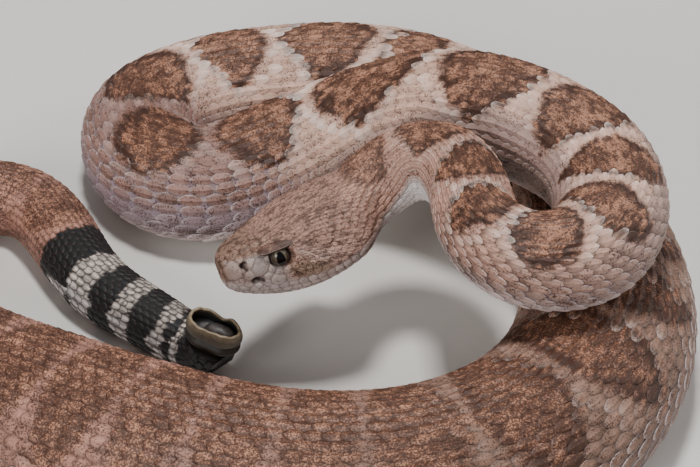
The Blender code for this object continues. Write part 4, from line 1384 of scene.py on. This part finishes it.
def build_plates():
    """Domed plates: rings of points from the middle to the border, then down into the skin."""
    station, angle, radius, kind = spread_places(*face_places())
    centre = surface(station, angle)
    by_station, by_angle, normal = slopes(station, angle)
    ahead = by_station / np.linalg.norm(by_station, axis=-1, keepdims=True)
    aside = np.cross(normal, ahead)
    aside *= np.sign((aside * by_angle).sum(-1, keepdims=True))
    cell, turns = cell_outlines(centre, ahead, aside, radius)
    solid = kind < 4
    station, angle, radius, kind, cell, centre, by_station, by_angle, ahead, aside = (
        values[solid] for values in
        (station, angle, radius, kind, cell, centre, by_station, by_angle, ahead, aside))
    count = len(station)
    rho = PLATE_RINGS[None, :, None]
    reach = rho * (cell[:, None, :] - GROOVE)
    x, y = reach * np.cos(turns), reach * np.sin(turns)
    long = each(np.maximum(np.linalg.norm(by_station, axis=-1), 0.3))
    wide = each(np.maximum(np.linalg.norm(by_angle, axis=-1), 1.0))
    s = each(station) + x / long
    a = each(angle) + y / wide
    # the flat outline is moved over the curved surface until it lies at its true distances
    for _ in range(3):
        offset = surface(s, a) - each(centre)
        s = s + 0.8 * (x - (offset * each(ahead)).sum(-1)) / long
        a = a + 0.8 * (y - (offset * each(aside)).sum(-1)) / wide
        s = np.clip(s, FIRST - 0.97, None)
    base = surface(s, a)
    _, _, out = slopes(s, a)
    high = each(np.minimum(DOME[kind.astype(int)] * radius, HIGHEST_DOME))
    lift = 0.02 + high * (1 - rho ** 3.2) + 0 * x
    lift[:, -1] = -0.12
    point = base + out * (lift - coat_depth(s))[..., None]
    rows, columns = len(PLATE_RINGS), PLATE_TURNS
    one = grid_faces(rows, columns, closed=True)
    faces = (one[None] + (np.arange(count) * rows * columns)[:, None, None]).reshape(-1, 4)
    colour, speckle = paint(s, share_at(s, a), point)
    # each plate's own random tone, times painted shade that darkens its border towards the groove
    tone = each(1 + 0.05 * RNG.normal(0, 1, count)) * (1.03 - 0.18 * smooth((rho - 0.80) / 0.20))
    colour = colour * (tone + 0 * x)[..., None]
    colour = np.clip(colour, 0.002, 1).reshape(-1, 3)
    return mesh_piece("head_plates", point, faces, SHIELD_KERATIN,
                      {"paint": colour, "speckle": speckle.ravel()},
                      root_uv(station, np.sin(angle / 2), x, y))


plates = build_plates()

# %% [markdown]
# ## Eyes
# The eye is a clear spectacle over a grey-brown iris with an upright pupil, wide open in the
# dark. A clear shell over a separate iris would be truer, but at this size the eye shows only
# its wet highlight. So it is one ball, very smooth, with the pupil painted by its distance
# from the line of sight, longer upwards.

# %% Eyes
GAZE_AHEAD = 14.0           # degrees
EYE_RINGS, EYE_TURNS = 60, 72
EYE_COLOUR = {name: linear(code) for name, code in {
    "iris": "#453d33", "ring": "#6b6152", "veil": "#3d3028", "rim": "#2a211c", "pupil": "#060505",
}.items()}


def wet_eye():
    """Glass-clear spectacle over the iris, as one very smooth surface in the painted colour."""
    finish, tree = new_finish("clear_spectacle_over_iris")
    colour = add_node(tree, "ShaderNodeAttribute", attribute_name="paint").outputs["Color"]
    shader = add_node(tree, "ShaderNodeBsdfPrincipled", {
        "Base Color": colour, "Roughness": 0.04, "IOR": 1.36})
    add_node(tree, "ShaderNodeOutputMaterial", {"Surface": shader.outputs[0]})
    return finish


WET_EYE = wet_eye()


def build_eye(name, side):
    """A ball in polar rings round the line of sight; the pupil is an upright ellipse."""
    polar = np.linspace(0, math.pi, EYE_RINGS) ** 1.25 / math.pi ** 0.25
    turn = np.linspace(0, 2 * math.pi, EYE_TURNS, endpoint=False)
    p, t = np.meshgrid(polar, turn, indexing="ij")
    x, y, z = np.sin(p) * np.cos(t), np.cos(p), np.sin(p) * np.sin(t)
    gaze = rotation("z", -GAZE_AHEAD * side)
    ball = np.stack([x, side * y, z], axis=-1) @ gaze.T * EYE_R
    point = head_to_world(ball + EYE_AT * (-1, side, 1))
    grain = cloud(point, 0.35) - 0.5
    pupil = np.hypot(x / 0.40, z / 0.72)
    iris = np.hypot(x, z)
    colour = mix(EYE_COLOUR["iris"], EYE_COLOUR["ring"], bell(pupil, 1.14, 0.14))
    colour = mix(colour, EYE_COLOUR["veil"], smooth((0.5 * grain + 0.15 - 0.6 * z) / 0.5) * 0.75)
    colour = mix(colour, EYE_COLOUR["rim"], smooth((iris - 0.80) / 0.12))
    colour = mix(colour, EYE_COLOUR["pupil"], smooth((1.03 - pupil) / 0.06))
    colour = np.where((y < 0)[..., None], EYE_COLOUR["rim"], colour)
    faces = grid_faces(EYE_RINGS, EYE_TURNS, closed=True)
    faces = faces[:, ::-1] if side > 0 else faces
    piece = mesh_piece(name, point, faces, WET_EYE, {"paint": colour.reshape(-1, 3)})
    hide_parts(name)
    return piece


SIDES = ((1, "left"), (-1, "right"))
for side, word in SIDES:
    eye_piece = build_eye("eye_" + word, side)
    print("eye_" + word, "points:", len(eye_piece.data.vertices))

# %% [markdown]
# ## Brow plates
# Over each eye lies the one big plate of the crown, whose overhanging edge gives the frown. It
# could be pushed up out of the skin, but only a shield of its own gets the crisp edge.

# %% Brow plates
# distance of each ring from the middle, and its height, as shares of the plate's own
BROW_RINGS = np.array([0.0, 0.25, 0.5, 0.7, 0.84, 0.93, 0.98, 1.0, 0.98, 0.92, 0.80])
BROW_HEIGHTS = np.array([0.95, 0.94, 0.88, 0.76, 0.60, 0.42, 0.24, 0.05, -0.16, -0.35, -1.1])
BROW_TURNS = 48
BROW_LENGTH, BROW_OUTER, BROW_INNER, BROW_HEIGHT = 4.8, 2.3, 2.7, 0.8     # half sizes in mm
BROW_TURN, BROW_PITCH, BROW_ROLL = -17, 4, -13                          # degrees
BROW_AT = (-12.9, 7.25, 4.62)


def build_brow(name, side):
    """A flat-topped plate with a crisp outer edge, its underside sunk in the crown.

    The plan is a long egg, squarer on its outer side, by the power sum of cosine and sine. The
    top sinks towards the outer side with the square of the distance from the middle.
    """
    rings, heights = BROW_RINGS[:, None], BROW_HEIGHTS[:, None]
    turn = np.linspace(0, 2 * math.pi, BROW_TURNS, endpoint=False)
    cos, sin = np.cos(turn), np.sin(turn)
    box = np.where(sin > 0, 3.4, 2.2)
    size = (np.abs(cos) ** box + np.abs(sin) ** box) ** (-1 / box)
    along = rings * cos * size * BROW_LENGTH
    across = rings * sin * size * np.where(sin > 0, BROW_OUTER, BROW_INNER)
    tall = BROW_HEIGHT * heights - 0.35 * (across / BROW_OUTER) * (rings < 0.97) * rings ** 2
    plate = np.stack([along, across, tall], axis=-1)
    turning = rotation("z", BROW_TURN) @ rotation("y", BROW_PITCH) @ rotation("x", BROW_ROLL)
    local = plate @ turning.T + BROW_AT
    local[..., 1] *= side
    point = head_to_world(local)
    faces = grid_faces(len(rings), BROW_TURNS, closed=True)
    faces = faces if side > 0 else faces[:, ::-1]
    soft = cloud(point, 0.9) - 0.5
    colour = mix(COLOUR["brow"], COLOUR["crown"], 0.42 * smooth(0.30 + 2.2 * soft))
    edge = bell(heights, 0.05, 0.14) * smooth(sin * 2)
    colour = mix(colour, COLOUR["pale"], 0.55 * edge)
    # the underside is painted dark: painted shade under the overhanging edge
    colour = np.where((heights < -0.1)[..., None], linear("#3a2b24"), colour)
    return mesh_piece(name, point, faces, SHIELD_KERATIN,
                      {"paint": colour.reshape(-1, 3), "speckle": (0.5 + 0.5 * soft).ravel()})


for side, word in SIDES:
    brow_piece = build_brow("brow_plate_" + word, side)
    print("brow_plate_" + word, "points:", len(brow_piece.data.vertices))

# %% [markdown]
# ## The rattle
# A rattle is a chain of hollow horn segments, each a cast of the tail's last scale left over
# from a moult and held loosely by the next. This one is short and broken: a fused base, a waist,
# and one open segment whose torn rim shows the lobe of the segment inside. It is a single loft
# out along the outside, over the rim and down the inside wall.

# %% Horn and its finish
# distance from the root, half length, half thickness, depth of the groove on each flat side
RATTLE = np.array([
    (0.0, 5.2, 4.3, 0.05), (0.5, 6.5, 4.7, 0.14), (1.3, 7.2, 4.9, 0.18), (2.1, 6.4, 4.2, 0.22),
    (2.6, 5.8, 3.7, 0.24), (3.1, 6.6, 4.3, 0.22), (4.2, 7.4, 4.8, 0.20), (5.6, 7.3, 4.7, 0.20),
    (7.0, 6.9, 4.4, 0.20),
])
RATTLE_GAP = 0.32           # between the last scales and the root
RATTLE_TURN = 22.0          # degrees, round its own axis
RATTLE_WALL = 0.85
RATTLE_FLOOR = 3.0
# the lobe inside: distance from the floor, then half length, half thickness and groove
LOBE = np.array([
    (0.1, 4.9, 2.9, 0.2), (0.3, 4.3, 2.4, 0.2), (1.0, 4.2, 2.4, 0.2), (1.9, 3.9, 2.25, 0.2),
    (2.6, 3.2, 1.9, 0.15), (3.0, 2.3, 1.4, 0.1), (3.25, 1.2, 0.8, 0.0), (3.35, 0.05, 0.05, 0.0),
])
LOBE_OFF = -1.7             # of the lobe from the middle, across the length
OUTER_RINGS, RIM_RINGS, INNER_RINGS, LOBE_RINGS = 64, 5, 14, len(LOBE)
HORN_COLOUR = {name: linear(code) for name, code in {
    "groove": "#3d3427", "ridge": "#5f523f", "root_dark": "#2a231b", "worn": "#8f7d63",
    "hollow": "#0b0e13", "lobe_dark": "#241f1d", "lobe_light": "#544b46",
}.items()}


def horn():
    """Old keratin: olive-tan, slightly see-through, waxy, with fine growth lines and dirt."""
    finish, tree = new_finish("waxy_rattle_horn")
    place = add_node(tree, "ShaderNodeTexCoord").outputs["Object"]
    colour = add_node(tree, "ShaderNodeAttribute", attribute_name="paint").outputs["Color"]
    dirt = add_node(tree, "ShaderNodeTexNoise", {"Vector": place, "Scale": 900.0, "Detail": 4.0})
    tone = add_node(tree, "ShaderNodeMapRange", {"Value": dirt.outputs["Fac"], "From Min": 0.35,
                                                 "From Max": 0.65, "To Min": 0.72, "To Max": 1.12})
    shade = add_node(tree, "ShaderNodeVectorMath", {0: colour, "Scale": tone.outputs[0]},
                     operation="SCALE")
    bump = add_node(tree, "ShaderNodeBump", {"Height": dirt.outputs["Fac"], "Strength": 0.3,
                                             "Distance": 0.0002})
    shader = add_node(tree, "ShaderNodeBsdfPrincipled", {
        "Base Color": shade.outputs[0], "Roughness": 0.48, "IOR": KERATIN_IOR, "Subsurface Weight": 0.2,
        "Subsurface Radius": (1.0, 0.6, 0.3), "Subsurface Scale": 0.0008,
        "Normal": bump.outputs["Normal"]})
    add_node(tree, "ShaderNodeOutputMaterial", {"Surface": shader.outputs[0]})
    return finish


HORN = horn()
print("finish of the rattle:", HORN.name)

# %% [markdown]
# ## Rings of the rattle
# Both open segments and the lobe are oval in section, pinched by a groove on each flat side.
# The torn rim is two notches and a fine ripple that grow over the last third of the length.

# %% Rattle


def rattle_rings():
    """Distance, sizes and part of every ring.

    The parts are 0 outer wall, 1 rounded rim, 2 inner wall and 3 lobe. The sizes are half
    length, half thickness and groove, in columns.
    """
    top = RATTLE[-1, 0]
    outer_far = np.linspace(0, top, OUTER_RINGS)
    outer = cubic_spline(RATTLE[:, 0], RATTLE[:, 1:], outer_far)[0]
    round_rim = np.linspace(0, math.pi, RIM_RINGS + 2)[1:-1]
    rim_in = RATTLE_WALL * (1 - np.cos(round_rim)) / 2
    rim = RATTLE[-1, 1:] - np.stack([rim_in, rim_in, 0 * rim_in], axis=-1)
    inner_far = np.linspace(top - 0.2, RATTLE_FLOOR + 0.8, INNER_RINGS)
    inner = np.repeat((RATTLE[-1, 1:] - (RATTLE_WALL, RATTLE_WALL, 0))[None], INNER_RINGS, axis=0)
    far = np.concatenate([outer_far, top + 0.30 * np.sin(round_rim), inner_far,
                          RATTLE_FLOOR + LOBE[:, 0]])
    sizes = np.concatenate([outer, rim, inner, LOBE[:, 1:]])
    part = np.repeat([0, 1, 2, 3], [OUTER_RINGS, RIM_RINGS, INNER_RINGS, LOBE_RINGS])
    return far[:, None], sizes.T[..., None], part[:, None]


def rattle_axes():
    """Root of the rattle and its axes: along, back and left, turned round the first."""
    root = PLACE[-1] + (0, 0, BELLY * SIZES[-1, 1])
    along = SLOPE[-1] / np.linalg.norm(SLOPE[-1])
    back = np.array([0.0, 0.0, 1.0]) - along * along[2]
    back /= np.linalg.norm(back)
    left = np.cross(along, back)
    cos, sin = math.cos(math.radians(RATTLE_TURN)), math.sin(math.radians(RATTLE_TURN))
    return root, along, back * cos + left * sin, left * cos - back * sin


def paint_rattle(far, angle, part, point):
    """Growth lines and streaks, darker towards the root, a worn rim, and painted shade in the hollow
    round its lobe.
    """
    lines = 0.5 + 0.5 * np.sin(far * 9.0 + 0.8 * np.sin(3 * angle))
    streak = cloud(point, 1.3)
    none = np.zeros_like(streak)
    colour = mix(HORN_COLOUR["groove"], HORN_COLOUR["ridge"], 0.35 * lines + 0.65 * streak)
    # darker towards the root, where it meets the tail
    darker_to_root = 0.8 * smooth((3.6 - far) / 2.2) * (part == 0)
    colour = mix(colour, HORN_COLOUR["root_dark"], darker_to_root + none)
    worn = smooth((far - 5.2) / 1.4) * (part < 2)
    colour = mix(colour, HORN_COLOUR["worn"], 0.5 * worn + 0.35 * (part == 1) + none)
    # painted shade: the inside wall darkens almost to black down into the hollow
    hollow = 0.96 * (part == 2) * smooth((RATTLE[-1, 0] - far) / 1.6)
    colour = mix(colour, HORN_COLOUR["hollow"], hollow + none)
    lobe = mix(HORN_COLOUR["lobe_dark"], HORN_COLOUR["lobe_light"], streak)
    return mix(colour, lobe, (part == 3) + none)


def build_rattle(around=120):
    """Ovals with a groove in each flat side, out along the outside and back down the inside."""
    far, (length, thick, groove), part = rattle_rings()
    angle = np.linspace(0, 2 * math.pi, around, endpoint=False)
    up = length * np.cos(angle) + np.where(part == 3, LOBE_OFF, 0.0)
    across = thick * np.sin(angle) * (1 - groove * bell(np.cos(angle), 0, 0.45))
    tear = (0.9 * bell(np.sin((angle - 3.5) / 2), 0, 0.22)
            + 1.5 * bell(np.sin((angle - 4.6) / 2), 0, 0.14))
    ragged = tear + 0.22 * np.sin(5 * angle + 0.6) + 0.10 * np.sin(13 * angle)
    rise = far - ragged * np.where(part == 3, 0, smooth((far - 4.6) / 2.4))
    root, along, back, left = rattle_axes()
    point = (root + (RATTLE_GAP + rise)[..., None] * along + up[..., None] * back
             + across[..., None] * left)
    colour = paint_rattle(far, angle, part, point)
    faces = grid_faces(len(far), around, closed=True)
    piece = mesh_piece("rattle_horn", point, faces, HORN, {"paint": colour.reshape(-1, 3)})
    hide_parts("rattle")
    return piece


rattle_piece = build_rattle()
print("rattle from", tuple(round(c, 4) for c in rattle_piece.bound_box[0]),
      "to", tuple(round(c, 4) for c in rattle_piece.bound_box[6]))

# %% [markdown]
# ## Floor, light and camera
# A plain pale floor and soft light show the relief; a room around would only hide it. The
# camera looks down at forty degrees, at the photograph's distance and width of view.

# %% Stage
TARGET = np.array([24.5, 32.0, 0.0])
CAMERA_DISTANCE = 660.0
VIEW_WIDTH = 187.0
CAMERA_DOWN = 40.0          # degrees
SENSOR_WIDTH = 36.0
FLOOR_HALF = 3.0            # metres
LAMPS_AIM = np.array([0.02, 0.0, 0.02])
# name, place in metres, width in metres, power in watts
LAMPS = (("key lamp", (0.02, 0.05, 0.90), 0.14, 6.8), ("front lamp", (-0.45, -0.70, 0.45), 0.4, 5.2),
         ("side lamp", (0.70, 0.10, 0.40), 0.4, 1.6))


def into_scene(name, data):
    """A new object with this data, in the scene."""
    thing = bpy.data.objects.new(name, data)
    bpy.context.scene.collection.objects.link(thing)
    return thing


def build_floor():
    """A pale matt square under the animal."""
    finish = bpy.data.materials.new("matt_pale_paper")
    finish.use_nodes = True
    shader = finish.node_tree.nodes["Principled BSDF"]
    shader.inputs["Base Color"].default_value = (*linear("#d9d5cf"), 1.0)
    shader.inputs["Roughness"].default_value = 0.9
    mesh = bpy.data.meshes.new("floor")
    corners = [(x * FLOOR_HALF, y * FLOOR_HALF, 0) for x, y in ((-1, -1), (1, -1), (1, 1), (-1, 1))]
    mesh.from_pydata(corners, [], [(0, 1, 2, 3)])
    mesh.materials.append(finish)
    into_scene("floor", mesh)


def build_light():
    """A small strong lamp above, two weaker ones in front and at the side, and a soft grey room."""
    for name, place, size, power in LAMPS:
        lamp = bpy.data.lights.new(name, "AREA")
        lamp.size = size
        lamp.energy = power
        holder = into_scene(name, lamp)
        holder.location = place
        away = np.array(place) - LAMPS_AIM
        tip = math.atan2(math.hypot(away[0], away[1]), away[2])
        holder.rotation_euler = (tip, 0.0, math.atan2(away[0], -away[1]))
    world = bpy.data.worlds.new("soft grey room")
    world.use_nodes = True
    world.node_tree.nodes["Background"].inputs["Color"].default_value = (0.92, 0.95, 1.0, 1.0)
    world.node_tree.nodes["Background"].inputs["Strength"].default_value = 0.30
    bpy.context.scene.world = world


def build_camera():
    """A camera that looks down at the target; the lens follows from distance and width of view."""
    camera = bpy.data.cameras.new("camera")
    camera.sensor_width = SENSOR_WIDTH
    camera.lens = SENSOR_WIDTH * CAMERA_DISTANCE / VIEW_WIDTH
    camera.clip_start = 0.01
    holder = into_scene("camera", camera)
    down = math.radians(CAMERA_DOWN)
    back = np.array([0.0, -math.cos(down), math.sin(down)])
    holder.location = (TARGET + CAMERA_DISTANCE * back) * MM
    holder.rotation_euler = (math.pi / 2 - down, 0.0, 0.0)
    bpy.context.scene.camera = holder
    return holder


build_floor()
build_light()
camera_object = build_camera()
print("camera at", tuple(round(v, 4) for v in camera_object.location))
